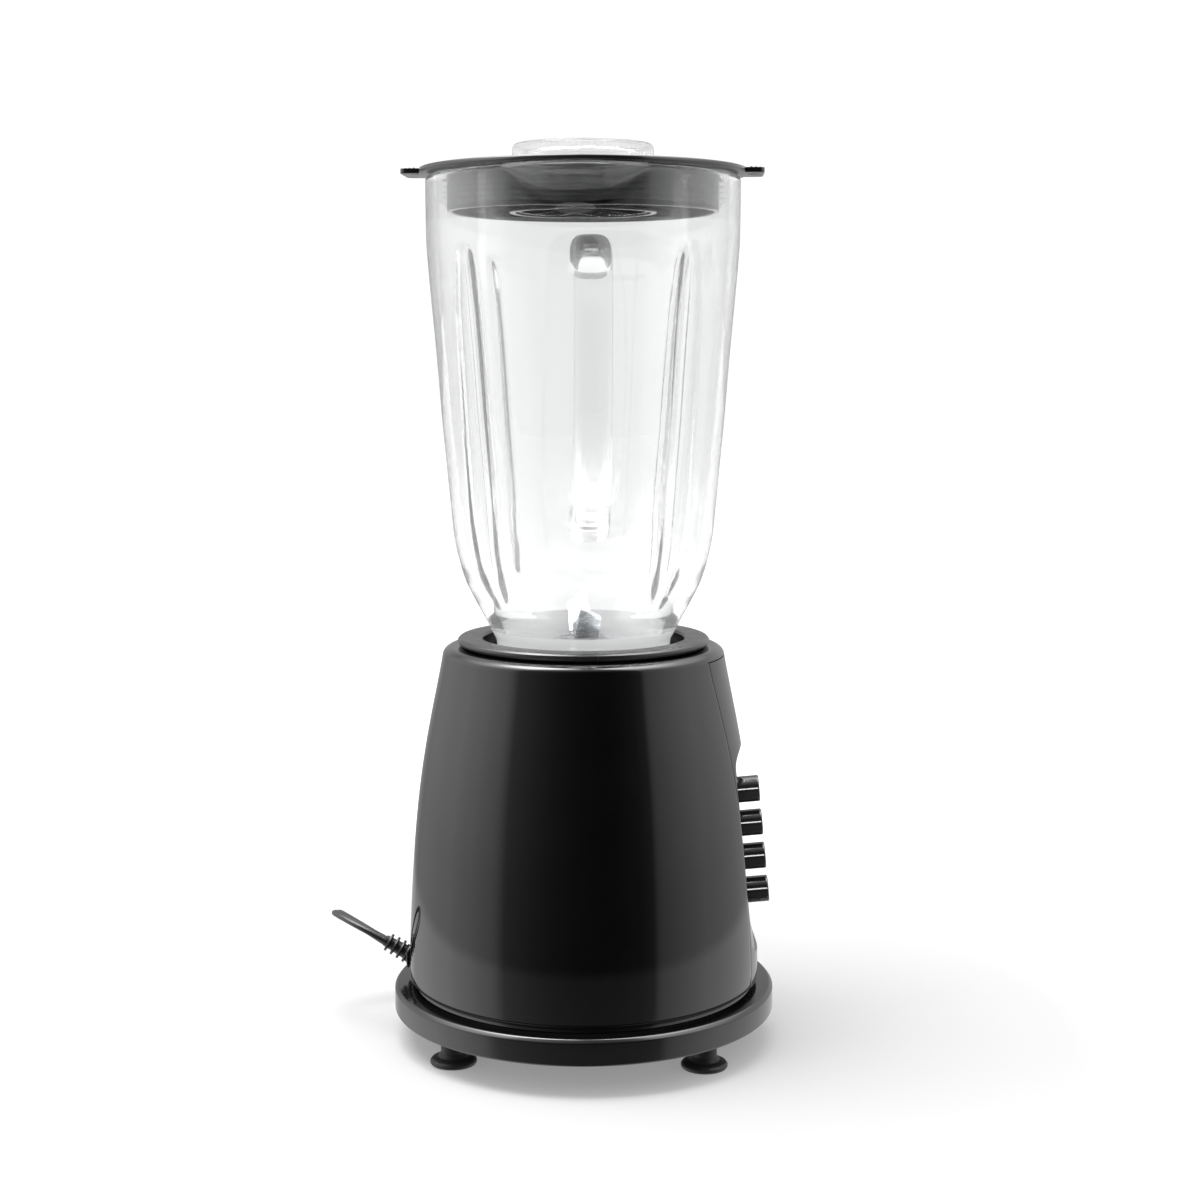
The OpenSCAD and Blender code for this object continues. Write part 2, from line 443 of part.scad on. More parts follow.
module cord_coil() color("#222224") translate([coil_c[0], coil_c[1], 0]) rotate_extrude() polygon([[25.8, 0.1], [31.4, 0.1], [31.4, 0.3], [35.3, 0.3], [35.3, 5.3], [35.3, 10.7], [25.8, 10.7]]);
module cord_tie() color("#3a3a3c") translate([coil_c[0] - 36.6, coil_c[1] - 3, 0]) difference() { cube([12.2, 6, 12]); translate([1.1, -1, 0.05]) cube([10, 8, 10.85]); }
plug_at = [153, -26, 6.9];
module plug_body() color("#222224") translate(plug_at) rotate([90, 0, 0]) intersection() {
  linear_extrude(height = 36) polygon([[-17.6, 0], [-13, -5], [-9, -6.8], [9, -6.8], [13, -5], [17.6, 0], [13, 5], [9, 6.8], [-9, 6.8], [-13, 5]]);
  translate([0, 20, 0]) rotate([90, 0, 0]) linear_extrude(height = 40)
    polygon([[-3.4, 0], [3.4, 0], [4.6, 9], [7.5, 12.5], [12.5, 16], [16.5, 19], [17.6, 22], [17.6, 35], [16.8, 36], [-16.8, 36], [-17.6, 35], [-17.6, 22], [-16.5, 19], [-12.5, 16], [-7.5, 12.5], [-4.6, 9]]);
}
module plug_pins() color("#cfd1d3") for (s = [-1, 1]) translate(plug_at) translate([s * 9.3, 0, 0]) rotate([90, 0, 0]) translate([0, 0, 36]) {
  cylinder(r = 2, h = 18);
  translate([0, 0, 18]) cylinder(r1 = 2, r2 = 1.2, h = 1);
}

at_axis() base_plate();
at_axis() rubber_feet();
at_axis() plate_screws();
at_axis() motor_housing();
at_axis() front_fascia();
at_axis() jar_seat();
at_axis() button_off();
at_axis() button_low();
at_axis() button_high();
at_axis() button_pulse();
at_axis() switch_block();
at_axis() switch_bracket();
at_axis() switch_screws();
at_axis() motor_stator();
at_axis() field_coils();
at_axis() motor_lower_bracket();
at_axis() motor_upper_bracket();
at_axis() motor_bolts();
at_axis() bracket_screws();
at_axis() mount_grommets();
at_axis() lower_bush();
at_axis() upper_bush();
at_axis() brush_holders();
at_axis() carbon_brushes();
at_axis() brush_springs();
at_axis() motor_shaft();
at_axis() rotor_core();
at_axis() rotor_windings();
at_axis() commutator();
at_axis() cooling_fan();
at_axis() shaft_slinger();
at_axis() drive_coupling();
at_axis() thermal_fuse();
at_axis() suppressor();
at_axis() wiring_loom();
at_axis() cord_clamp();
at_axis() glass_jar();
at_axis() retaining_collar();
at_axis() blade_gasket();
at_axis() blade_holder();
at_axis() blade_bush();
at_axis() blade_shaft();
at_axis() driven_coupling();
at_axis() lower_blade();
at_axis() upper_blade();
at_axis() blade_nut();
at_axis() lid();
at_axis() lid_seal();
at_axis() filler_cap();
at_axis() strain_relief();
at_axis() power_cord();
at_axis() cord_coil();
at_axis() cord_tie();
at_axis() plug_body();
at_axis() plug_pins();
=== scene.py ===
# Countertop blender: looks. Metres, row frame: +Z up, -Y front (buttons), +X handle, -X spout.
import bpy, bmesh, math, json
import numpy as np
from mathutils import Vector, Matrix


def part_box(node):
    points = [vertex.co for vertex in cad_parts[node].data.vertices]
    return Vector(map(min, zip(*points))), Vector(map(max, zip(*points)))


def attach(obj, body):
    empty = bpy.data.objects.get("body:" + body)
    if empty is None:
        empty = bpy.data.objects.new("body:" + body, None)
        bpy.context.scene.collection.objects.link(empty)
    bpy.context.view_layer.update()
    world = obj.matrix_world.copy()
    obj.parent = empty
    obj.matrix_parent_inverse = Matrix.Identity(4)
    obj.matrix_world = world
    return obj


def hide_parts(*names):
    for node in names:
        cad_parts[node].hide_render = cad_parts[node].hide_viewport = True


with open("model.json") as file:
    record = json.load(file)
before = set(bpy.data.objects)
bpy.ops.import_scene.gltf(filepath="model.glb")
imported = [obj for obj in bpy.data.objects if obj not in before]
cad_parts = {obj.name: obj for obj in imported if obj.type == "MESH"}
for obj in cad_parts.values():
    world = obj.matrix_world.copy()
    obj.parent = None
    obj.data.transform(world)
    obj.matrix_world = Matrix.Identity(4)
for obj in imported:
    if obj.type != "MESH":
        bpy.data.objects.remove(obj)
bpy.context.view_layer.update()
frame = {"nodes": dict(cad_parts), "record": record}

_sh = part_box("motor_shaft")      # drive axis from the row origin, mm
AX, AY = [round((_sh[0][k] + _sh[1][k]) * 500, 2) for k in (0, 1)]
N = frame["nodes"]


def P(x, y, z):
    return Vector(((x + AX) / 1000, (y + AY) / 1000, z / 1000))


# ------------------------------------------------------------------ camera
cam_d = bpy.data.cameras.new("cam")
cam = bpy.data.objects.new("cam", cam_d)
bpy.context.scene.collection.objects.link(cam)
bpy.context.scene.camera = cam
cam_d.sensor_width = 36
cam_d.lens = 60.43
cam.location = (-0.8858, -0.0458 + AY / 1000, 0.305)
aim = Vector((-0.0116, -0.0072 + AY / 1000, 0.195))
cam.rotation_mode = "QUATERNION"
cam.rotation_quaternion = (aim - cam.location).to_track_quat("-Z", "Y")
cam_d.clip_start, cam_d.clip_end = 0.05, 50


# ------------------------------------------------------------------ small tools
def make(name, verts, faces, body, mat=None, slot=None, rep=(), smooth=35, mm=True):
    m = bpy.data.meshes.new(name)
    if mm:
        verts = [((v[0] + AX) / 1000, (v[1] + AY) / 1000, v[2] / 1000) for v in verts]
    m.from_pydata([tuple(v) for v in verts], [], [tuple(f) for f in faces])
    m.validate()
    m.update()
    o = bpy.data.objects.new(name, m)
    bpy.context.scene.collection.objects.link(o)
    bm = bmesh.new(); bm.from_mesh(m)
    bmesh.ops.recalc_face_normals(bm, faces=bm.faces)
    bm.to_mesh(m); bm.free()
    shade(o, smooth)
    if mat: paint(o, mat)
    if rep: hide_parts(*rep)
    if body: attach(o, body)
    return o


def shade(o, angle=35):
    m = o.data
    m.polygons.foreach_set("use_smooth", [True] * len(m.polygons))
    m.set_sharp_from_angle(angle=math.radians(angle))
    m.update()


def bake(o, angle=35):
    """Applies the modifiers of o to its mesh."""
    bpy.context.view_layer.update()
    dg = bpy.context.evaluated_depsgraph_get()
    m = bpy.data.meshes.new_from_object(o.evaluated_get(dg))
    old = o.data
    o.modifiers.clear()
    o.data = m
    bpy.data.meshes.remove(old)
    shade(o, angle)
    return o


def paint(o, mat):
    o.data.materials.clear()
    o.data.materials.append(mat)


def smoothcurve(pts, n=6):
    """Catmull-Rom through pts, n steps a span."""
    p = [np.array(q, float) for q in pts]
    out = []
    for i in range(len(p) - 1):
        a, b, c, d = p[max(i - 1, 0)], p[i], p[i + 1], p[min(i + 2, len(p) - 1)]
        for k in range(n):
            t = k / n
            out.append(0.5 * (2 * b + (c - a) * t + (2 * a - 5 * b + 4 * c - d) * t * t + (3 * b - a - 3 * c + d) * t ** 3))
    out.append(p[-1])
    return [tuple(q) for q in out]


def rounded(pts, r=0.5, n=4, closed=True):
    """Rounds the corners of a 2D outline. pts may hold a third value, the corner's own radius."""
    out = []
    m = len(pts)
    for i in range(m):
        if not closed and i in (0, m - 1):
            out.append(tuple(pts[i][:2])); continue
        p = np.array(pts[i][:2], float); a = np.array(pts[i - 1][:2], float); b = np.array(pts[(i + 1) % m][:2], float)
        rr = pts[i][2] if len(pts[i]) > 2 else r
        u, v = a - p, b - p
        lu, lv = np.linalg.norm(u), np.linalg.norm(v)
        if rr <= 0 or lu < 1e-9 or lv < 1e-9:
            out.append(tuple(p)); continue
        u, v = u / lu, v / lv
        ang = math.acos(max(-1, min(1, float(u @ v))))
        if ang > math.radians(172):
            out.append(tuple(p)); continue
        d = min(rr / math.tan(ang / 2), lu * 0.45, lv * 0.45)
        s, e = p + u * d, p + v * d
        for k in range(n + 1):
            t = k / n
            out.append(tuple((1 - t) ** 2 * s + 2 * t * (1 - t) * p + t * t * e))
    return out


def lathe(name, prof, body, mat, seg=160, closed=True, centre=(0, 0), radius=None, a0=0.0, **kw):
    """Surface of revolution of [r, z] points, mm, about the drive axis or another upright one."""
    n = len(prof)
    axis_pts = [i for i, q in enumerate(prof) if q[0] < 1e-6]
    V, F, idx = [], [], []
    for i, (r, z) in enumerate([q[:2] for q in prof]):
        if r < 1e-6:
            idx.append([len(V)] * seg); V.append((centre[0], centre[1], z)); continue
        row = []
        for k in range(seg):
            t = 2 * math.pi * k / seg + a0
            rr = r if radius is None else radius(t, z, r, i)
            row.append(len(V)); V.append((centre[0] + rr * math.cos(t), centre[1] + rr * math.sin(t), z))
        idx.append(row)
    for i in range(n if closed else n - 1):
        j = (i + 1) % n
        if i in axis_pts and j in axis_pts: continue
        for k in range(seg):
            l = (k + 1) % seg
            f = [idx[i][k], idx[i][l], idx[j][l], idx[j][k]]
            g = []
            for q in f:
                if q not in g: g.append(q)
            if len(g) > 2: F.append(g)
    return make(name, V, F, body, mat, **kw)


def bool_(o, other, op="DIFFERENCE", angle=35):
    before = o.data.copy()
    m = o.modifiers.new("b", "BOOLEAN")
    m.operation = op; m.object = other; m.solver = "EXACT"
    bake(o, angle)
    if op == "UNION" and len(o.data.vertices) < len(before.vertices):     # solver gave up: keep both shells whole
        bm = bmesh.new(); bm.from_mesh(before); bm.from_mesh(other.data)
        bm.to_mesh(o.data); bm.free()
        shade(o, angle)
    bpy.data.meshes.remove(before)
    d = other.data
    bpy.data.objects.remove(other); bpy.data.meshes.remove(d)
    return o


def bevel(o, w, seg=3, ang=30, angle=35):
    m = o.modifiers.new("bev", "BEVEL")
    m.width = w / 1000; m.segments = seg; m.limit_method = "ANGLE"; m.angle_limit = math.radians(ang); m.harden_normals = False
    return bake(o, angle)


def tube(pts, size, frames, seg=14, cap=True):
    """Sweeps a superellipse cross-section. size(i) -> half widths (a, b, power); frames(i) -> (side, up)."""
    V, F = [], []
    n = len(pts)
    for i in range(n):
        a, b, pw = size(i); s, u = frames(i); p = Vector(pts[i])
        for k in range(seg):
            t = 2 * math.pi * k / seg
            c, d = math.cos(t), math.sin(t)
            x = a * math.copysign(abs(c) ** (2 / pw), c); y = b * math.copysign(abs(d) ** (2 / pw), d)
            V.append(tuple(p + s * x + u * y))
    for i in range(n - 1):
        for k in range(seg):
            l = (k + 1) % seg
            F.append((i * seg + k, i * seg + l, (i + 1) * seg + l, (i + 1) * seg + k))
    if cap:
        F.append(tuple(range(seg))); F.append(tuple((n - 1) * seg + k for k in range(seg)))
    return V, F


# ------------------------------------------------------------------ materials
def nodes_of(name):
    m = bpy.data.materials.new(name)
    m.use_nodes = True
    nt = m.node_tree
    return m, nt, nt.nodes["Principled BSDF"]


def link(nt, a, b):
    nt.links.new(a, b)


def noise(nt, scale, detail=4, rough=0.6, stretch=None):
    tc = nt.nodes.new("ShaderNodeTexCoord")
    n = nt.nodes.new("ShaderNodeTexNoise")
    n.inputs["Scale"].default_value = scale; n.inputs["Detail"].default_value = detail; n.inputs["Roughness"].default_value = rough
    if stretch:
        mp = nt.nodes.new("ShaderNodeMapping"); mp.inputs["Scale"].default_value = stretch
        link(nt, tc.outputs["Object"], mp.inputs["Vector"]); link(nt, mp.outputs["Vector"], n.inputs["Vector"])
    else:
        link(nt, tc.outputs["Object"], n.inputs["Vector"])
    return n.outputs["Fac"]


def ranged(nt, fac, lo, hi, a=0.35, b=0.65):
    r = nt.nodes.new("ShaderNodeMapRange")
    r.inputs["From Min"].default_value = a; r.inputs["From Max"].default_value = b
    r.inputs["To Min"].default_value = lo; r.inputs["To Max"].default_value = hi
    link(nt, fac, r.inputs["Value"])
    return r.outputs["Result"]


def tint(nt, fac, c1, c2, a=0.35, b=0.65):
    r = nt.nodes.new("ShaderNodeValToRGB")
    r.color_ramp.elements[0].position = a; r.color_ramp.elements[0].color = (*c1, 1)
    r.color_ramp.elements[1].position = b; r.color_ramp.elements[1].color = (*c2, 1)
    link(nt, fac, r.inputs["Fac"])
    return r.outputs["Color"]


def bump(nt, fac, strength, dist=0.0002):
    b = nt.nodes.new("ShaderNodeBump")
    b.inputs["Strength"].default_value = strength; b.inputs["Distance"].default_value = dist
    link(nt, fac, b.inputs["Height"])
    return b.outputs["Normal"]


def plastic(name, c, rough, var=0.02, grain=0.0, gscale=900, spec=0.5, cvar=0.15):
    m, nt, p = nodes_of(name)
    f = noise(nt, 35, 5)
    link(nt, tint(nt, f, [x * (1 - cvar) for x in c], [x * (1 + cvar) for x in c]), p.inputs["Base Color"])
    f2 = noise(nt, 140, 6, 0.7)
    link(nt, ranged(nt, f2, max(rough - var, 0.01), rough + var), p.inputs["Roughness"])
    p.inputs["Specular IOR Level"].default_value = spec
    if grain:
        link(nt, bump(nt, noise(nt, gscale, 2), grain, 0.00006), p.inputs["Normal"])
    return m


def metal(name, c, rough, stretch=(1, 1, 40), scale=60, var=0.08, grain=0.15):
    m, nt, p = nodes_of(name)
    p.inputs["Metallic"].default_value = 1
    f = noise(nt, scale, 6, 0.7, stretch)
    link(nt, tint(nt, f, [x * 0.88 for x in c], [min(x * 1.08, 1) for x in c]), p.inputs["Base Color"])
    link(nt, ranged(nt, f, max(rough - var, 0.03), rough + var), p.inputs["Roughness"])
    link(nt, bump(nt, f, grain, 0.00005), p.inputs["Normal"])
    return m


def clear(name, c, ior, rough, var=0.0, alpha=1.0, trans=1.0):
    m, nt, p = nodes_of(name)
    f = noise(nt, 18, 3)
    link(nt, tint(nt, f, [x * 0.985 for x in c], c), p.inputs["Base Color"])
    if var:
        link(nt, ranged(nt, noise(nt, 60, 3), rough, rough + var), p.inputs["Roughness"])
    else:
        p.inputs["Roughness"].default_value = rough
    p.inputs["Transmission Weight"].default_value = trans
    p.inputs["IOR"].default_value = ior
    p.inputs["Alpha"].default_value = alpha
    return m


M = {
    "body_black": plastic("gloss_black", (0.0022, 0.0022, 0.0023), 0.045, 0.012),
    "fascia_black": plastic("panel_black", (0.0028, 0.0028, 0.0029), 0.07, 0.015),
    "button_black": plastic("button_gloss", (0.007, 0.007, 0.0072), 0.09, 0.003),
    "plate_black": plastic("plate_gloss", (0.0045, 0.0045, 0.0047), 0.12, 0.03, 0.08),
    "foot_rubber": plastic("foot_rubber", (0.014, 0.014, 0.014), 0.55, 0.08, 0.3, spec=0.35),
    "seat_black": plastic("seat_satin", (0.014, 0.014, 0.0145), 0.24, 0.04, 0.12),
    "jar_glass": clear("jar_glass", (0.93, 0.935, 0.935), 1.49, 0.0, alpha=0.92),
    "collar_black": plastic("collar_satin", (0.016, 0.016, 0.0165), 0.3, 0.05, 0.15),
    "lid_black": plastic("lid_gloss", (0.0035, 0.0035, 0.0036), 0.09, 0.03, 0.05),
    "seal_clear": None,
    "cap_clear": clear("cap_clear", (0.98, 0.985, 0.985), 1.4, 0.01, 0.03, alpha=0.45),
    "blade_steel": metal("blade_steel", (0.60, 0.61, 0.62), 0.24, (60, 6, 6), 40),
    "holder_steel": metal("holder_steel", (0.52, 0.53, 0.54), 0.28, (6, 6, 60)),
    "shaft_steel": metal("shaft_steel", (0.66, 0.66, 0.67), 0.16, (4, 4, 80)),
    "screw_steel": metal("screw_steel", (0.50, 0.51, 0.52), 0.3, (20, 20, 20)),
    "lamination": metal("lamination", (0.2, 0.2, 0.21), 0.42, (1, 1, 260), 30, 0.1, 0.6),
    "copper_wire": metal("copper_wire", (0.62, 0.27, 0.12), 0.32, (2, 2, 200), 30, 0.1, 0.8),
    "alloy": metal("alloy", (0.58, 0.59, 0.60), 0.42, (12, 12, 12)),
    "bronze": metal("bronze", (0.52, 0.36, 0.18), 0.45, (25, 25, 25)),
    "carbon": plastic("carbon", (0.03, 0.03, 0.03), 0.6, 0.1, 0.3),
    "phenolic": plastic("phenolic", (0.07, 0.04, 0.025), 0.5, 0.08, 0.3),
    "coupling_black": plastic("coupling_black", (0.022, 0.022, 0.022), 0.5, 0.08, 0.25),
    "white_nylon": plastic("white_nylon", (0.72, 0.70, 0.65), 0.42, 0.06, 0.15),
    "switch_cream": plastic("switch_cream", (0.66, 0.63, 0.54), 0.45, 0.06, 0.15),
    "cap_yellow": plastic("cap_yellow", (0.6, 0.44, 0.08), 0.4, 0.05, 0.1),
    "wire_brown": plastic("wire_brown", (0.19, 0.05, 0.03), 0.45, 0.06, 0.1),
    "cord_pvc": plastic("cord_pvc", (0.012, 0.012, 0.0125), 0.36, 0.06, 0.15),
    "pin_metal": metal("pin_metal", (0.62, 0.61, 0.58), 0.2, (10, 10, 10)),
}
_m, _nt, _p = nodes_of("seal_silicone")
link(_nt, tint(_nt, noise(_nt, 30, 3), (0.5, 0.51, 0.52), (0.56, 0.57, 0.58)), _p.inputs["Base Color"])
link(_nt, ranged(_nt, noise(_nt, 80, 3), 0.3, 0.4), _p.inputs["Roughness"])
_p.inputs["Transmission Weight"].default_value = 0.75
_p.inputs["IOR"].default_value = 1.4
_p.inputs["Alpha"].default_value = 0.14
M["seal_clear"] = _m

slots = {s["node"]: s["material_slot"] for s in frame["record"]["subparts"]}
for n, o in N.items():
    paint(o, M[slots[n]])
    shade(o, 32)

# ------------------------------------------------------------------ motor housing
HP = [[76.6, 27.5], [77.3, 28.2], [77.4, 38], [77.2, 46], [76.7, 58], [76.0, 70], [75.1, 84], [74.1, 97],
      [72.8, 109], [71.2, 121], [69.3, 132.5], [67.2, 143.5], [65.3, 153.5], [63.6, 162], [62.2, 169], [61.5, 172.6]]
body_fit = np.polyfit([q[1] for q in HP[1:]], [q[0] for q in HP[1:]], 5)


def body_r(z):
    """Outer radius of the housing, a smooth curve through the measured profile."""
    return float(np.polyval(body_fit, min(max(z, 28.2), 172.6)))


def win(z):
    return 22 + (z - 20) * 6.7 / 152


def panel_y(z):
    return 66.8 + (124.8 - z) * 0.0983


rows = [27.5, 27.62, 27.95, 28.5, 29.4, 31, 33]
rows = [(body_r(28.2) - d, z) for d, z in ((1.0, 27.5), (0.55, 27.62), (0.18, 27.95), (0.0, 28.5), (0.0, 29.4))]
rows += [(body_r(z), z) for z in np.linspace(31, 171.2, 72)]
rows += [(body_r(172.15), 172.15)]
nfull = len(rows)
r0 = body_r(172.15)
for k in range(1, 11):      # rounded shoulder
    t = k / 10 * math.pi / 2
    rows.append((r0 - 4.2 * (1 - math.cos(t)) - 0.5 * math.sin(t), 172.15 + 3.25 * math.sin(t)))
rows += [(54.9, 175.42), (52, 175.42), (49, 175.42), (46.9, 175.42)]
NH, NW = 236, 44            # columns on the housing and across the window
V, F = [], []
for i, (r, z) in enumerate(rows):
    te = math.asin((win(min(z, 172.15)) + 0.17) / max(body_r(min(max(z, 28.2), 172.15)), 1))
    ang = [te + (2 * math.pi - 2 * te) * k / NH for k in range(NH)] + [-te + 2 * te * k / NW for k in range(NW)]
    for t in ang:
        V.append((r * math.sin(t), -r * math.cos(t), z))
C = NH + NW
for i in range(len(rows) - 1):
    for k in range(C):
        if k >= NH and i < nfull - 1: continue
        l = (k + 1) % C
        F.append((i * C + k, i * C + l, (i + 1) * C + l, (i + 1) * C + k))
used = sorted({v for f in F for v in f}); remap = {v: i for i, v in enumerate(used)}
housing = make("motor_housing_shell", [V[v] for v in used], [[remap[v] for v in f] for f in F], None, M["body_black"], "body_black", smooth=60)
# solidify inwards; the normals must point out first
bm = bmesh.new(); bm.from_mesh(housing.data)
cen = P(0, 0, 100)
out = sum((f.normal.dot((f.calc_center_median() - cen).normalized()) * f.calc_area()) for f in bm.faces)
if out < 0:
    bmesh.ops.reverse_faces(bm, faces=bm.faces)
bm.to_mesh(housing.data); bm.free()
md = housing.modifiers.new("s", "SOLIDIFY"); md.thickness = 0.0025; md.offset = -1; md.use_even_offset = True
bake(housing, 40)
bevel(housing, 0.35, 3, 50, 45)
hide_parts("motor_housing"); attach(housing, "base")

# ------------------------------------------------------------------ front fascia
lim = [(33.9, 91), (39.2, 79.2), (40.4, 77.6), (41.8, 76.45), (43.4, 75.6), (45.4, 74.95), (47.8, 74.5), (50.5, 74.1), (124.8, 66.8), (126.6, 66.85),
       (128.4, 67.25), (130, 67.95), (131.3, 68.85), (132.3, 70.0), (133.4, 72), (142, 90)]
lz = [q[0] for q in lim]; ly = [q[1] for q in lim]


def smin(a, b, k):
    h = max(k - abs(a - b), 0) / k
    return min(a, b) - h * h * k / 4


zs = sorted(set([27.9, 28.5, 29.5, 31] + list(np.round(np.linspace(33, 171.2, 100), 2)) + list(np.round(np.arange(38, 52, 0.45), 2)) + list(np.round(np.arange(122, 138, 0.45), 2)) + [171.75]))
nc = 56
V, F = [], []
for z in zs:
    r = body_r(z)
    te = math.asin((win(z) - 0.1) / r)
    for k in range(nc + 1):
        u = -1 + 2 * k / nc
        u = u * (1 - 0.12 * (1 - u * u))
        t = te * u
        x, y = r * math.sin(t), r * math.cos(t)
        y = smin(y, float(np.interp(z, lz, ly, left=200, right=200)), 0.7)
        V.append((x, -y, z))
for i in range(len(zs) - 1):
    for k in range(nc):
        a = i * (nc + 1) + k
        F.append((a, a + 1, a + nc + 2, a + nc + 1))
fascia = make("control_fascia", V, F, None, M["fascia_black"], "fascia_black", smooth=60)
bm = bmesh.new(); bm.from_mesh(fascia.data)
if sum(f.normal.y * f.calc_area() for f in bm.faces) > 0:
    bmesh.ops.reverse_faces(bm, faces=bm.faces)
bm.to_mesh(fascia.data); bm.free()
md = fascia.modifiers.new("s", "SOLIDIFY"); md.thickness = 0.003; md.offset = -1
bake(fascia, 60)

tilt = math.atan(0.0983)
AXB = Vector((0, -math.cos(tilt), math.sin(tilt)))      # out of the panel
bz = [111 - i * 15.05 for i in range(4)]


def turned(name, prof, origin, axis, body, mat, seg=64, **kw):
    """Lathe about any axis: prof [r, h] mm from origin (mm, drive frame) along axis."""
    axis = Vector(axis).normalized()
    q = Vector((0, 0, 1)).rotation_difference(axis)
    V, F, idx = [], [], []
    for r, h in prof:
        if r < 1e-6:
            idx.append([len(V)] * seg); V.append(Vector(origin) + q @ Vector((0, 0, h))); continue
        row = []
        for k in range(seg):
            t = 2 * math.pi * k / seg
            row.append(len(V)); V.append(Vector(origin) + q @ Vector((r * math.cos(t), r * math.sin(t), h)))
        idx.append(row)
    n = len(prof)
    for i in range(n):
        j = (i + 1) % n
        if prof[i][0] < 1e-6 and prof[j][0] < 1e-6: continue
        for k in range(seg):
            l = (k + 1) % seg
            g = []
            for v in (idx[i][k], idx[i][l], idx[j][l], idx[j][k]):
                if v not in g: g.append(v)
            if len(g) > 2: F.append(g)
    return make(name, V, F, body, mat, **kw)


for i in range(4):
    o = (0, -panel_y(bz[i]), bz[i])
    cut = turned("cut", [(0, -12), (6.1, -12), (6.1, 9), (0, 9)], o, AXB, None, None)
    bool_(fascia, cut, "DIFFERENCE", 40)
bevel(fascia, 0.3, 2, 50, 45)
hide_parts("front_fascia"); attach(fascia, "base")

names = ["button_off", "button_low", "button_high", "button_pulse"]
for i, n in enumerate(names):
    o = (0, -panel_y(bz[i]), bz[i])
    prof = rounded([(0, -5.2, 0), (7.1, -5.2, 0.2), (7.1, -7.0, 0.2), (2.2, -7.0, 0.2), (2.2, -18.9, 0.3), (0, -18.9, 0)], 0.2, 3)
    prof = [(0, 9.55)] + [(5.8 * t, 9.55 - 0.12 * t * t) for t in (0.25, 0.5, 0.68)] + rounded([(4.0, 9.5), (5.8, 9.42, 1.5), (5.8, -5.1)], 1.5, 7, closed=False)[1:] + [(7.1, -5.2), (7.1, -7.0), (1.6, -7.0), (1.5, -18.8), (0, -18.8)]
    turned("push_" + n, prof, o, AXB, n + "_body", M["button_black"], seg=72, slot="button_black", rep=(n,), smooth=40)

# ------------------------------------------------------------------ floor, light
m, nt, p = nodes_of("floor_paper_glow")
link(nt, tint(nt, noise(nt, 3, 3), (0.60, 0.60, 0.60), (0.62, 0.62, 0.62)), p.inputs["Base Color"])
p.inputs["Roughness"].default_value = 0.85
p.inputs["Specular IOR Level"].default_value = 0.0
p.inputs["Emission Color"].default_value = (1, 1, 1, 1)
# the floor glows as well as taking light: painted light. The glow is weaker near the base (0.24 within 0.22 m of the
# world origin, rising to 0.62 past 0.45 m), a painted shade round the base on top of the rendered shadows
_g = nt.nodes.new("ShaderNodeNewGeometry"); _l = nt.nodes.new("ShaderNodeVectorMath"); _l.operation = "LENGTH"
link(nt, _g.outputs["Position"], _l.inputs[0])
link(nt, ranged(nt, _l.outputs["Value"], 0.24, 0.62, 0.22, 0.45), p.inputs["Emission Strength"])
fm = bpy.data.meshes.new("floor")
fm.from_pydata([(-6, -6, -0.0002), (6, -6, -0.0002), (6, 6, -0.0002), (-6, 6, -0.0002)], [], [(0, 1, 2, 3)])
floor = bpy.data.objects.new("floor", fm)
bpy.context.scene.collection.objects.link(floor)
paint(floor, m)
floor.visible_glossy = False

w = bpy.data.worlds.new("studio")
bpy.context.scene.world = w
w.use_nodes = True
nt = w.node_tree
for n_ in list(nt.nodes): nt.nodes.remove(n_)
outw = nt.nodes.new("ShaderNodeOutputWorld")
bgA, bgB = nt.nodes.new("ShaderNodeBackground"), nt.nodes.new("ShaderNodeBackground")
mix = nt.nodes.new("ShaderNodeMixShader"); lp = nt.nodes.new("ShaderNodeLightPath")
link(nt, bgA.outputs[0], mix.inputs[1]); link(nt, bgB.outputs[0], mix.inputs[2]); link(nt, mix.outputs[0], outw.inputs["Surface"])
bgA.inputs["Color"].default_value = (1, 1, 1, 1)
tc = nt.nodes.new("ShaderNodeTexCoord"); sep = nt.nodes.new("ShaderNodeSeparateXYZ")
link(nt, tc.outputs["Generated"], sep.inputs[0])


def mth(op, a, b=None):
    n_ = nt.nodes.new("ShaderNodeMath"); n_.operation = op
    for i_, v_ in enumerate((a, b)):
        if v_ is None: continue
        if isinstance(v_, (int, float)): n_.inputs[i_].default_value = v_
        else: link(nt, v_, n_.inputs[i_])
    return n_.outputs[0]


def ramp(fac, stops):
    n_ = nt.nodes.new("ShaderNodeValToRGB"); cr = n_.color_ramp
    cr.elements[0].position, cr.elements[0].color = stops[0][0], (stops[0][1],) * 3 + (1,)
    cr.elements[1].position, cr.elements[1].color = stops[-1][0], (stops[-1][1],) * 3 + (1,)
    for p_, v_ in stops[1:-1]:
        e_ = cr.elements.new(p_); e_.color = (v_,) * 3 + (1,)
    link(nt, fac, n_.inputs["Fac"])
    return n_.outputs["Color"]


# azimuth from the -X side, 0..1 for 0..180 degrees; elevation as z
az = mth("DIVIDE", mth("ARCTAN2", sep.outputs["Y"], mth("MULTIPLY", sep.outputs["X"], -1)), math.pi)
left = ramp(az, [(0.0, 0.03), (0.09, 0.09), (0.17, 0.22), (0.25, 0.42), (0.275, 0.52), (0.315, 1.35), (0.335, 1.6), (0.43, 2.15), (0.535, 2.25), (0.67, 1.5), (0.8, 0.7), (1.0, 0.55)])
right = ramp(mth("MULTIPLY", az, -1), [(0.0, 0.03), (0.066, 0.01), (0.144, 0.02), (0.225, 0.08), (0.272, 0.2), (0.292, 0.72), (0.31, 0.92), (0.4, 1.4), (0.5, 1.75), (0.62, 1.6), (0.8, 1.1), (1.0, 0.55)])
elev = mth("ADD", mth("MULTIPLY", sep.outputs["Z"], 0.5), 0.5)
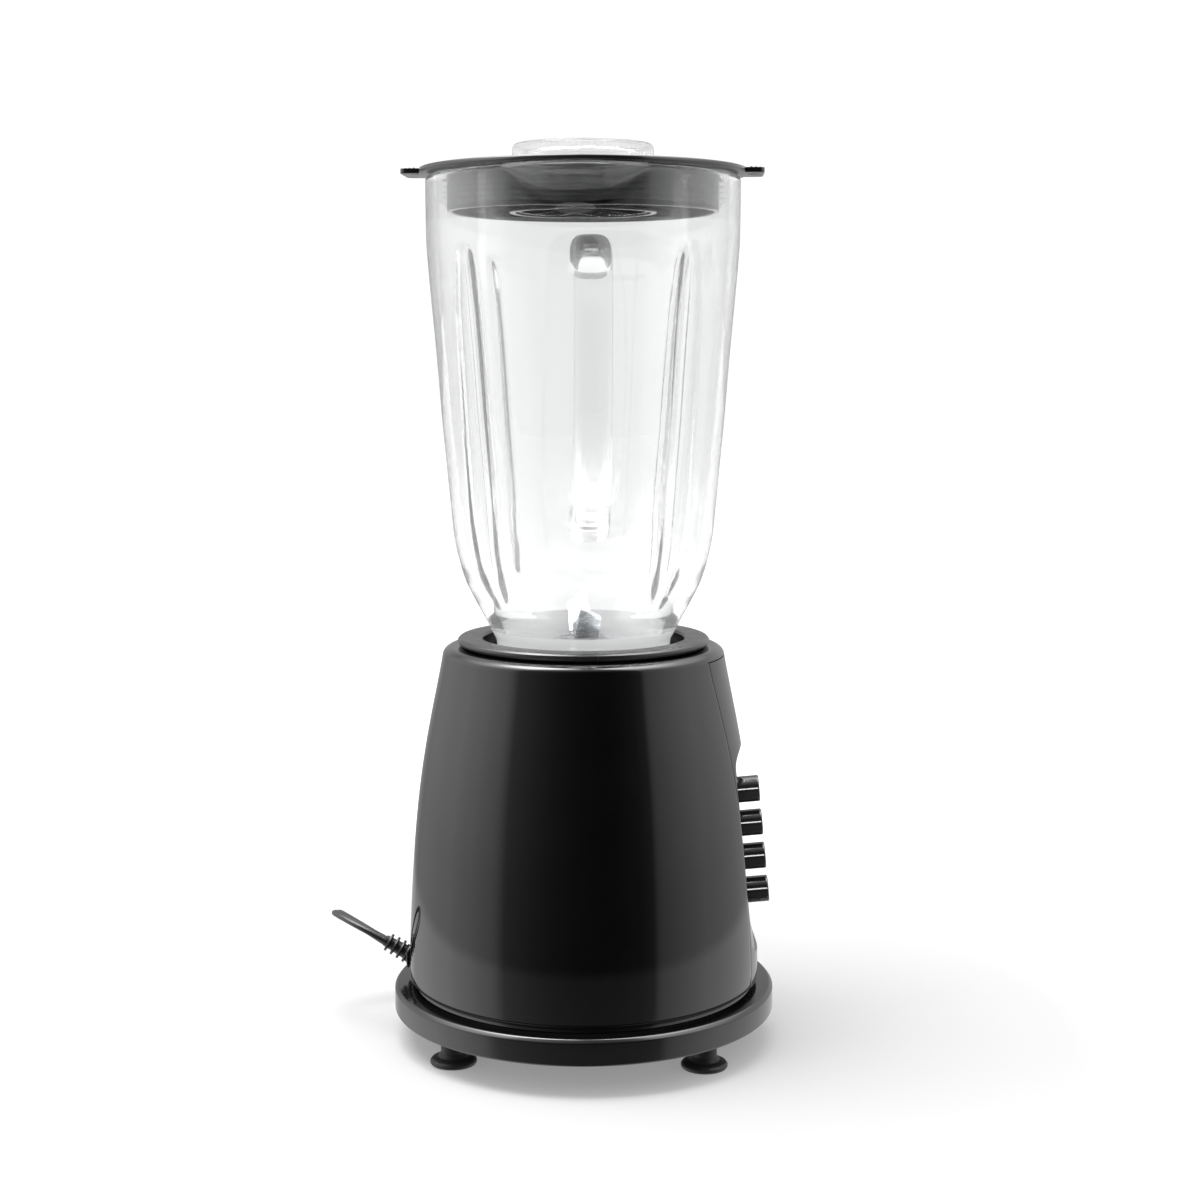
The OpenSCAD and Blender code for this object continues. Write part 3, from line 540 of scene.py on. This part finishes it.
high = ramp(elev, [(0.0, 0.55), (0.33, 0.8), (0.379, 0.82), (0.386, 0.60), (0.424, 0.64), (0.463, 0.74), (0.551, 0.88), (0.61, 1.0), (0.72, 1.0), (0.86, 2.6), (0.93, 5.5), (1.0, 7.5)])
low = ramp(elev, [(0.0, 0.16), (0.33, 0.14), (0.379, 0.11), (0.386, 0.0), (0.84, 0.0), (0.93, 0.6), (1.0, 1.2)])
side = nt.nodes.new("ShaderNodeMix"); side.data_type = "RGBA"
link(nt, mth("GREATER_THAN", az, 0), side.inputs["Factor"]); link(nt, right, side.inputs[6]); link(nt, left, side.inputs[7])
side = side.outputs[2]
pat = nt.nodes.new("ShaderNodeMix"); pat.data_type = "RGBA"; pat.blend_type = "MULTIPLY"; pat.inputs["Factor"].default_value = 1
link(nt, side, pat.inputs[6]); link(nt, high, pat.inputs[7])
add = nt.nodes.new("ShaderNodeMix"); add.data_type = "RGBA"; add.blend_type = "ADD"; add.inputs["Factor"].default_value = 1
link(nt, pat.outputs[2], add.inputs[6]); link(nt, low, add.inputs[7])
link(nt, add.outputs[2], bgB.inputs["Color"]); bgB.inputs["Strength"].default_value = 1.0
# the reflecting surfaces see the dark room and the soft boxes, whether through the glass or not; the rest sees white
refl = mth("MULTIPLY", mth("GREATER_THAN", lp.outputs["Glossy Depth"], 0.5), mth("LESS_THAN", lp.outputs["Diffuse Depth"], 0.5))
link(nt, refl, mix.inputs["Fac"])
link(nt, mth("SUBTRACT", 1.06, mth("MULTIPLY", mth("GREATER_THAN", lp.outputs["Diffuse Depth"], 0.5), 0.31)), bgA.inputs["Strength"])


def area(name, loc, target, size, energy):
    d = bpy.data.lights.new(name, "AREA"); d.shape = "RECTANGLE"; d.size, d.size_y = size; d.energy = energy
    o = bpy.data.objects.new(name, d); bpy.context.scene.collection.objects.link(o)
    o.location = loc
    o.rotation_mode = "QUATERNION"; o.rotation_quaternion = (Vector(target) - Vector(loc)).to_track_quat("-Z", "Y")
    return o


area("key_left", (-0.1, 0.5, 1.6), (0, 0, 0.1), (0.9, 0.9), 17)
area("top", (0.1, 0.0, 1.9), (0, 0, 0.1), (1.2, 1.2), 8)
# a tall narrow box at the camera's side that only the buttons show, as one thin line along each
strip = area("button_strip", (-1.25, -0.14, 0.36), (0, -0.09, 0.09), (1.1, 0.20), 16)
strip.visible_camera = False
only = bpy.data.collections.new("button_light_set")
for n_ in names:
    only.objects.link(bpy.data.objects["push_" + n_])
strip.light_linking.receiver_collection = only
vs = bpy.context.scene.view_settings
vs.view_transform = "Standard"; vs.look = "None"; vs.exposure = 0; vs.gamma = 1

# ------------------------------------------------------------------ glass jar
JO = smoothcurve([[38, 160.1], [38, 170], [38, 177.5], [39.5, 181], [42.2, 186.4], [44.6, 190.9], [47, 195.3], [51.3, 204.2], [54, 213], [55.9, 221.7],
      [56.9, 230.4], [57.7, 239.1], [59.3, 256.5], [60.9, 273.7], [62.2, 290.8], [63.6, 307.9], [65.1, 324.8], [66.5, 341.7], [67, 350], [67.15, 362], [67.2, 374.4]], 5)
JI = smoothcurve([[33, 160.1], [33, 170], [33, 178], [34.3, 181.6], [37.2, 187.6], [40.8, 194.2], [45.6, 202.8], [49.4, 211.8], [51.6, 221.7],
      [52.7, 230.4], [53.6, 239.1], [55.2, 256.5], [56.8, 273.7], [58.1, 290.8], [59.5, 307.9], [61.0, 324.8], [62.1, 341.7], [62.5, 350], [62.6, 362], [62.65, 374.4]], 5)
rim = [(67.1, 375.4), (66.7, 376.3), (66.0, 376.9), (64.9, 377.15), (63.9, 376.9), (63.1, 376.3), (62.75, 375.4)]
prof = JO + rim + list(reversed(JI))
n_out = len(JO) + 4


def flute(t, z, r):
    d = min(abs((t - math.radians(a) + math.pi) % (2 * math.pi) - math.pi) for a in (45, 135, 225, 315)) * r
    wd = float(np.interp(z, [197, 202, 212, 240, 320, 338, 344, 347], [2.5, 6, 8.5, 10.5, 8.5, 6.5, 4.5, 1.5]))
    dp = float(np.interp(z, [196, 199, 204, 212, 226, 244, 300, 326, 338, 343, 347], [0, 0.5, 1.9, 3.6, 4.3, 4.2, 3.3, 2.7, 2.2, 1.4, 0]))
    if d >= wd: return 0
    return dp * (0.5 * (1 + math.cos(math.pi * d / wd))) ** 1.25


def jar_radius(t, z, r, i):
    outer = i < n_out
    q = r - flute(t, z, r) * (1 if outer else 0.93)
    if z > 359.5:
        h = min(max((z - 361) / 16.2, -0.1), 1.0)
        rc = 27 + 8.6 * h - (0 if outer else 4.2 + 3.2 * math.sin(math.pi * min(max(h, 0), 1)) ** 2)
        cd = -40 * math.cos(t); dd = cd * cd - (1600 - rc * rc)
        if cd > 0 and dd > 0:
            q2 = cd + math.sqrt(dd)
            k = 1.6; hh = max(k - abs(q - q2), 0) / k
            q = max(q, q2) + hh * hh * k / 4
    return q


jar = lathe("jar", prof, None, M["jar_glass"], seg=256, radius=jar_radius, smooth=60)
HL = [[64.6, 347], [72, 348.0], [82, 348.2], [90, 347.0], [96, 343.4], [100, 337], [101.6, 328], [101.8, 314], [100.6, 297], [97.4, 280], [92.4, 264], [86, 251], [78.6, 240.4], [70.4, 232], [62.6, 226.4], [54.2, 223.6]]
HH = [10.0, 9.0, 8.0, 7.2, 6.6, 6.3, 6.1, 6.0, 6.0, 6.0, 6.1, 6.3, 6.8, 7.6, 8.8, 9.4]
hl = smoothcurve([(a[0], 0, a[1]) for a in HL], 4)
hh = [q[0] for q in smoothcurve([(a, 0, 0) for a in HH], 4)]


def hframe(i):
    a, b = Vector(hl[max(i - 1, 0)]), Vector(hl[min(i + 1, len(hl) - 1)])
    d = (b - a).normalized()
    return Vector((0, 1, 0)), Vector((-d.z, 0, d.x))


hV, hF = tube(hl, lambda i: (9.9, hh[i], 3.4), hframe, seg=40)
hnd = make("handle_tmp", hV, hF, None, M["jar_glass"], smooth=50)
bool_(jar, hnd, "UNION", 38)
paint(jar, M["jar_glass"])
# the foot of the jar (below z 183.5 mm, within 50 mm of the axis) gets a glass that glows faintly white: painted light
# on the foot
jar.data.materials.append(clear("jar_foot_glass_glow", (0.97, 0.975, 0.98), 1.45, 0.03, 0.04, trans=0.3))
jf = jar.data.materials[-1].node_tree.nodes["Principled BSDF"]
jf.inputs["Emission Color"].default_value = (1, 1, 1, 1)
jf.inputs["Emission Strength"].default_value = 0.2
for f in jar.data.polygons:
    c = f.center
    if c.z < 0.1835 and math.hypot(c.x - AX / 1000, c.y - AY / 1000) < 0.050: f.material_index = 1
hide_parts("glass_jar"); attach(jar, "jar")

# ------------------------------------------------------------------ lid, cap
lp_ = rounded([(55.8, 361.5, 0.5), (58, 361.5, 0.6), (58, 377.1, 0.8), (69.8, 377.5, 0.35), (70.4, 378.4, 0.5), (69.9, 380.0, 0.8), (60, 380.35, 0), (44, 380.75, 0), (35.5, 380.95, 1.2),
               (33.4, 382.0, 0.6), (31.1, 382.0, 0.4), (30.8, 381.6, 0.3), (30.8, 379.0, 0.2), (28.95, 379.0, 0.2), (28.95, 361.5, 0.4), (31.6, 361.5, 0.6), (31.6, 377.9, 0.8), (55.8, 377.9, 0.8)], 0.4, 4)
lid = lathe("lid_shell", lp_, None, M["lid_black"], seg=220, a0=0.0071, smooth=40)
for s in (1, -1):
    o2 = rounded([(-13, 62, 0.2), (13, 62, 0.2), (13, 76.9, 3.2), (-13, 76.9, 3.2)], 1, 8)
    V = [(x, s * y, 377.62) for x, y in o2] + [(x, s * y, 379.72) for x, y in o2]
    k = len(o2)
    F = [list(range(k)), list(range(k, 2 * k))] + [[i, (i + 1) % k, k + (i + 1) % k, k + i] for i in range(k)]
    tab = make("tab_tmp", V, F, None, M["lid_black"])
    bevel(tab, 0.45, 3, 50)
    bool_(lid, tab, "UNION", 40)
    for j in range(3):
        y0 = 71.3 + j * 1.9
        o3 = rounded([(y0 - 0.55, 379.3, 0), (y0 + 0.55, 379.3, 0), (y0 + 0.55, 380.25, 0.5), (y0 - 0.55, 380.25, 0.5)], 0.5, 4)
        hw = 9.5 - j * 0.8
        V = [(-hw, s * y, z) for y, z in o3] + [(hw, s * y, z) for y, z in o3]
        k = len(o3)
        F = [list(range(k)), list(range(k, 2 * k))] + [[i, (i + 1) % k, k + (i + 1) % k, k + i] for i in range(k)]
        bool_(lid, make("rib_tmp", V, F, None, M["lid_black"]), "UNION", 40)
paint(lid, M["lid_black"])
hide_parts("lid"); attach(lid, "lid_body")

cp = rounded([(0, 389.5, 0), (23.5, 389.5, 1.0), (26, 390.2, 1.0), (29.2, 390.38, 0.6), (30.1, 389.3, 0.9), (30.1, 379.45, 0.5), (28.3, 379.4, 0.2), (28.3, 362.1, 0.4), (26.4, 362.1, 0.4),
              (26.4, 386.2, 1.0), (25.4, 387.4, 1.0), (0, 387.4, 0)], 0.4, 4, closed=False)


def cap_radius(t, z, r, i):
    if r > 29.4 and 379.9 < z < 388.9:
        return r + 0.13 * math.cos(72 * t)
    return r


# more rows up the ribbed wall, so that the ribs are straight
cpx = []
for i, q in enumerate(cp):
    cpx.append(q)
    if i + 1 < len(cp) and abs(q[0] - cp[i + 1][0]) < 0.02 and q[0] > 29.5 and q[1] - cp[i + 1][1] > 3:
        for tt in (0.05, 0.35, 0.65, 0.95):
            cpx.append((q[0], q[1] + (cp[i + 1][1] - q[1]) * tt))
cap = lathe("filler_cap_clear", cpx, "cap", M["cap_clear"], seg=432, closed=False, radius=cap_radius, slot="cap_clear", rep=("filler_cap",), smooth=40)

# ------------------------------------------------------------------ jar seat ring and well
sp = rounded([(9, 147.6, 0.2), (46.2, 147.6, 0.5), (46.2, 175.7, 0.3), (53.4, 175.7, 0.3), (54.4, 176.4, 0.6), (55.0, 177.3, 0.6), (55.0, 178.4, 0.6), (54.0, 179.3, 0.7),
              (45.0, 179.3, 0.8), (44.1, 178.3, 0.6), (44.0, 150, 1.5), (13, 150, 0.4), (11.4, 151.6, 0.5), (9, 151.6, 0.3)], 0.4, 4)
seat = lathe("socket_ring", sp, None, M["seat_black"], seg=180, smooth=40)
for k in range(4):
    a = math.radians(k * 90 + 22.5)
    ca, sa = math.cos(a), math.sin(a)
    pts = [(42.95, -2.4), (44.6, -2.4), (44.6, 2.4), (42.95, 2.4)]
    V = [(x * ca - y * sa, x * sa + y * ca, z) for z in (150.2, 168.6) for x, y in pts]
    lug = make("lug_tmp", V, [(0, 1, 2, 3), (4, 5, 6, 7), (0, 1, 5, 4), (1, 2, 6, 5), (2, 3, 7, 6), (3, 0, 4, 7)], None, M["seat_black"])
    bevel(lug, 0.3, 2, 40)
    bool_(seat, lug, "UNION", 40)
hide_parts("jar_seat"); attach(seat, "base")

# ------------------------------------------------------------------ base plate: rim, neck and floor, with its air slots cut through the floor
bp = rounded([(60.6, 16, 0), (74.6, 16, 0.3), (74.6, 22.6, 0.6), (81.8, 22.6, 0.6), (81.8, 13.6, 0.5), (83.7, 13.6, 0.6), (84.2, 14.4, 0.6), (84.2, 23.4, 1.1), (82.9, 25.0, 1.3), (75.0, 25.0, 0.25),
              (74.6, 26, 0.3), (74.6, 33, 0.4), (72.4, 33, 0.4), (72.4, 18.4, 0.4), (60.6, 18.4, 0)], 0.4, 4)
rimp = lathe("plate_rim", bp, None, M["plate_black"], seg=220, smooth=40)
V, F = [], []
inner = lathe("plate_floor", [(12, 16), (61, 16), (61, 18.4), (12, 18.4)], None, M["plate_black"], seg=220, smooth=40)


def block_cut(name, x0, x1, hw, z0, z1, a):
    ca, sa = math.cos(a), math.sin(a)
    V = [(x * ca - y * sa, x * sa + y * ca, z) for z in (z0, z1) for x, y in rounded([(x0, -hw, 1.5), (x1, -hw, 1.5), (x1, hw, 1.5), (x0, hw, 1.5)], 1.5, 3)]
    k = len(V) // 2
    return V, [list(range(k)), list(range(k, 2 * k))] + [[i, (i + 1) % k, k + (i + 1) % k, k + i] for i in range(k)]


cv, cf = [], []
for kk in range(18):
    v, f = block_cut("c", 20, 34, 1.6, 10, 25, math.radians(kk * 20 + 10)); b0 = len(cv); cv += v; cf += [[b0 + q for q in g] for g in f]
for kk in range(24):
    v, f = block_cut("c", 42.5, 56.5, 1.6, 10, 25, math.radians(kk * 15 + 7.5)); b0 = len(cv); cv += v; cf += [[b0 + q for q in g] for g in f]
bool_(inner, make("slots_tmp", cv, cf, None), "DIFFERENCE", 40)
bool_(rimp, inner, "UNION", 40)
for a in (45, 135, 225, 315):
    cx, cy = math.copysign(44, math.cos(math.radians(a))), math.copysign(53.7, math.sin(math.radians(a)))
    boss = lathe("boss_tmp", rounded([(3.2, 13.6, 0.2), (7.5, 13.6, 0.5), (7.5, 17.2, 0), (3.2, 17.2, 0)], 0.3, 3), None, M["plate_black"], seg=48, centre=(cx, cy))
    bool_(rimp, boss, "UNION", 40)
for a in (20, 160, 247, 293):
    cx, cy = 67 * math.cos(math.radians(a)), 67 * math.sin(math.radians(a))
    boss = lathe("boss_tmp", rounded([(3.8, 14.6, 0.2), (4.8, 14.6, 0.3), (4.8, 17.2, 0), (3.8, 17.2, 0)], 0.3, 3), None, M["plate_black"], seg=40, centre=(cx, cy))
    bool_(rimp, boss, "UNION", 40)
paint(rimp, M["plate_black"])
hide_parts("base_plate"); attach(rimp, "base")

# ------------------------------------------------------------------ feet
fp = rounded([(0, 1.0, 0), (6.0, 1.0, 0.6), (7.2, 0.02, 0.4), (9.5, 0.02, 0.4), (10, 0.7, 0.4), (10, 1.7, 0.5), (9.2, 2.6, 0.8), (6.6, 3.4, 1.2), (5.4, 5.4, 1.2), (5.2, 13.55, 0.3), (3.1, 13.55, 0.1), (3.1, 19.1, 0.4), (0, 19.1, 0)], 0.4, 4, closed=False)
for i, a in enumerate((45, 135, 225, 315)):
    cx, cy = math.copysign(44, math.cos(math.radians(a))), math.copysign(53.7, math.sin(math.radians(a)))
    lathe("foot_%d" % (i + 1), fp, "base", M["foot_rubber"], seg=64, closed=False, centre=(cx, cy), slot="foot_rubber", rep=("rubber_feet",), smooth=40)

# ------------------------------------------------------------------ strain relief
c30, s30 = math.cos(math.radians(30)), math.sin(math.radians(30))
RD = Vector((0, c30, s30))
pr = [(0, 0.6), (3.95, 0.6), (3.75, 2.2)]
for k in range(4):
    h = 2.3 + k * 3.1; rr = 4.6 - k * 0.15; core = 3.35 - (h + 1) * 0.055
    pr += [(core + 0.05, h), (rr - 0.25, h + 0.08), (rr, h + 0.4), (rr, h + 0.9), (rr - 0.25, h + 1.2), (core - 0.05, h + 1.28), (core - 0.15, h + 2.0)]
pr += [(2.5, 14.2), (2.0, 14.5), (0, 14.5)]
turned("strain_relief_boot", pr, (0, 77, 33.4), RD, "base", M["cord_pvc"], seg=48, slot="cord_pvc", rep=("strain_relief",), smooth=45)
turned("strain_relief_bush", [(0, 0), (3.9, 0), (3.9, 3.2), (5.4, 3.3), (5.4, 5.1), (3.9, 5.2), (3.9, 9.4), (5.0, 9.5), (5.3, 9.9), (5.0, 10.3), (3.6, 10.5), (0, 10.5)], (0, 69, 33.4), (0, 1, 0), "base", M["cord_pvc"], seg=48, slot="cord_pvc", smooth=45)

# ------------------------------------------------------------------ mains lead: flat twin flex, 3.0 x 5.2 mm
route = [(0, 77 + 13 * c30, 33.4 + 13 * s30), (0.08, 93.44, 42.86), (1.13, 98.69, 45.48), (3.66, 103.73, 47.4), (7.47, 108.18, 48.47), (12.28, 111.69, 48.61), (17.71, 114, 47.82), (23.35, 114.93, 46.15), (28.76, 114.4, 43.72), (33.54, 112.47, 40.73), (37.3, 109.28, 37.41), (39.77, 105.09, 33.96), (41.73, 100.6, 30.54), (43.86, 96.2, 27.11), (46.2, 91.9, 23.68), (48.75, 87.73, 20.26), (51.56, 83.72, 16.83), (54.64, 79.92, 13.4), (58.02, 76.38, 9.98), (61.88, 73, 6.94), (66.39, 69.79, 4.7), (71.46, 66.96, 3.32), (76.92, 64.62, 2.85), (82.6, 62.77, 2.85), (88.41, 61.36, 2.85), (94.28, 60.3, 2.85), (100.2, 59.5, 2.85), (106.15, 58.9, 2.85), (112.11, 58.3, 2.85), (118.2, 57.2, 2.7)]
tail = [(159.8, 14, 8.1), (159.9, 9, 8.1), (159.6, 3.7, 8.0), (158.6, -1.6, 7.8), (156.8, -6.9, 7.5), (154.9, -11.4, 7.2), (153.5, -15.5, 6.9), (153, -18.7, 6.9), (153, -21.5, 6.9)]


def sst(x):
    x = min(max(x, 0), 1)
    return x * x * (3 - 2 * x)


coil = []
for s in range(8, 1891, 9):
    turn, fr = divmod(s, 360)
    cols = [33.7, 30.5, 27.3, 27.3, 30.5, 33.7, 33.7]
    R = cols[turn] + (cols[turn + 1] - cols[turn]) * sst((fr - 250) / 110) if turn < 5 else 33.7
    if s < 80: R = 33.7 + 3.3 * (1 - sst(s / 80))
    z = 2.7 + 5.4 * sst((s - 970) / 110)
    a = math.radians(90 - s)
    coil.append((126 + R * math.cos(a), 20 + R * math.sin(a), z))
line = smoothcurve(route + coil[:1], 2)[:-1] + coil + tail
sm = [Vector(q) for q in line]
for _ in range(2):      # ease the joins
    sm = [sm[0]] + [sm[1]] + [(sm[i - 1] + sm[i] * 2 + sm[i + 1]) / 4 for i in range(2, len(sm) - 2)] + [sm[-2]] + [sm[-1]]
line = sm
cum = [0]
for a, b in zip(line, line[1:]): cum.append(cum[-1] + (b - a).length)
L = cum[-1]


def cframe(i):
    d = (line[min(i + 1, len(line) - 1)] - line[max(i - 1, 0)]).normalized()
    s = d.cross(Vector((0, 0, 1))).normalized(); u = s.cross(d).normalized()
    ph = math.pi / 2 * sst((cum[i] - 38) / 75) * (1 - sst((cum[i] - (L - 48)) / 44))
    wide = s * math.cos(ph) + u * math.sin(ph)
    thin = d.cross(wide).normalized()
    return wide, thin


# figure-of-eight section of a twin flex
def flex_section():
    out = []
    for k in range(20):
        t = 2 * math.pi * k / 20
        x = 2.6 * math.cos(t) * (1 if abs(math.cos(t)) > 0.99 else 1.0)
        y = 1.5 * math.copysign(abs(math.sin(t)) ** 0.62, math.sin(t))
        y *= 1 - 0.13 * math.exp(-(x / 0.7) ** 2)
        out.append((x, y))
    return out


sec = flex_section()
V, F = [], []
for i, p_ in enumerate(line):
    wv, tv = cframe(i)
    for x, y in sec: V.append(tuple(p_ + wv * x + tv * y))
ns = len(sec)
for i in range(len(line) - 1):
    for k in range(ns):
        l = (k + 1) % ns
        F.append((i * ns + k, i * ns + l, (i + 1) * ns + l, (i + 1) * ns + k))
F.append(list(range(ns))); F.append([(len(line) - 1) * ns + k for k in range(ns)])
lead = make("mains_lead", V, F, "base", M["cord_pvc"], slot="cord_pvc", rep=("power_cord", "cord_coil"), smooth=60)

# plug
secs = [(0, 3.3, 3.1), (2, 3.5, 3.2), (9, 4.6, 3.9), (12.5, 7.3, 4.9), (16, 12.2, 6.1), (19, 16.0, 6.6), (22, 17.5, 6.75), (28, 17.6, 6.75), (34.6, 17.6, 6.75), (35.6, 17.2, 6.5), (36, 16.4, 6.0)]
sq = smoothcurve([(a, b, c) for a, b, c in secs], 3)
pv, pf = tube([(153, -21.5 - q[0], 6.9) for q in sq], lambda i: (sq[i][1], sq[i][2], 2.0 + 0.9 * sst(sq[i][0] / 20)), lambda i: (Vector((1, 0, 0)), Vector((0, 0, 1))), seg=48)
plug = make("plug_shell", pv, pf, "base", M["cord_pvc"], slot="cord_pvc", rep=("plug_body",), smooth=40)
for s in (1, -1):
    turned("pin_sleeve_%s" % ("a" if s > 0 else "b"), [(0, -0.3), (2.03, -0.3), (2.03, 9.3), (1.9, 9.6), (0, 9.6)], (153 + s * 9.3, -57.5, 6.9), (0, -1, 0), "base", M["cord_pvc"], seg=32, slot="cord_pvc")
    turned("plug_pin_%s" % ("a" if s > 0 else "b"), [(0, 0), (2, 0), (2, 17.6), (1.75, 18.5), (1.2, 19), (0, 19)], (153 + s * 9.3, -57.5, 6.9), (0, -1, 0), "base", M["pin_metal"], seg=40, slot="pin_metal", rep=("plug_pins",))

# tie round the coil
tl = [(x, y) for x, y in rounded([(89.5, 0.02, 2.2), (101.5, 0.02, 2.2), (101.5, 11.9, 2.2), (89.5, 11.9, 2.2)], 2.2, 6)]
ti = [(x, y) for x, y in rounded([(90.5, 0.09, 1.4), (100.5, 0.09, 1.4), (100.5, 10.9, 1.4), (90.5, 10.9, 1.4)], 1.4, 6)]
k = len(tl)
V = [(x, 17.1, z) for x, z in tl] + [(x, 17.1, z) for x, z in ti] + [(x, 22.9, z) for x, z in tl] + [(x, 22.9, z) for x, z in ti]
F = []
for i in range(k):
    j = (i + 1) % k
    F += [(i, j, k + j, k + i), (2 * k + i, 2 * k + j, 3 * k + j, 3 * k + i), (i, j, 2 * k + j, 2 * k + i), (k + i, k + j, 3 * k + j, 3 * k + i)]
tie = make("coil_tie", V, F, None, M["coupling_black"], smooth=40)
bevel(tie, 0.15, 2, 60)
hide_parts("cord_tie"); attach(tie, "base")
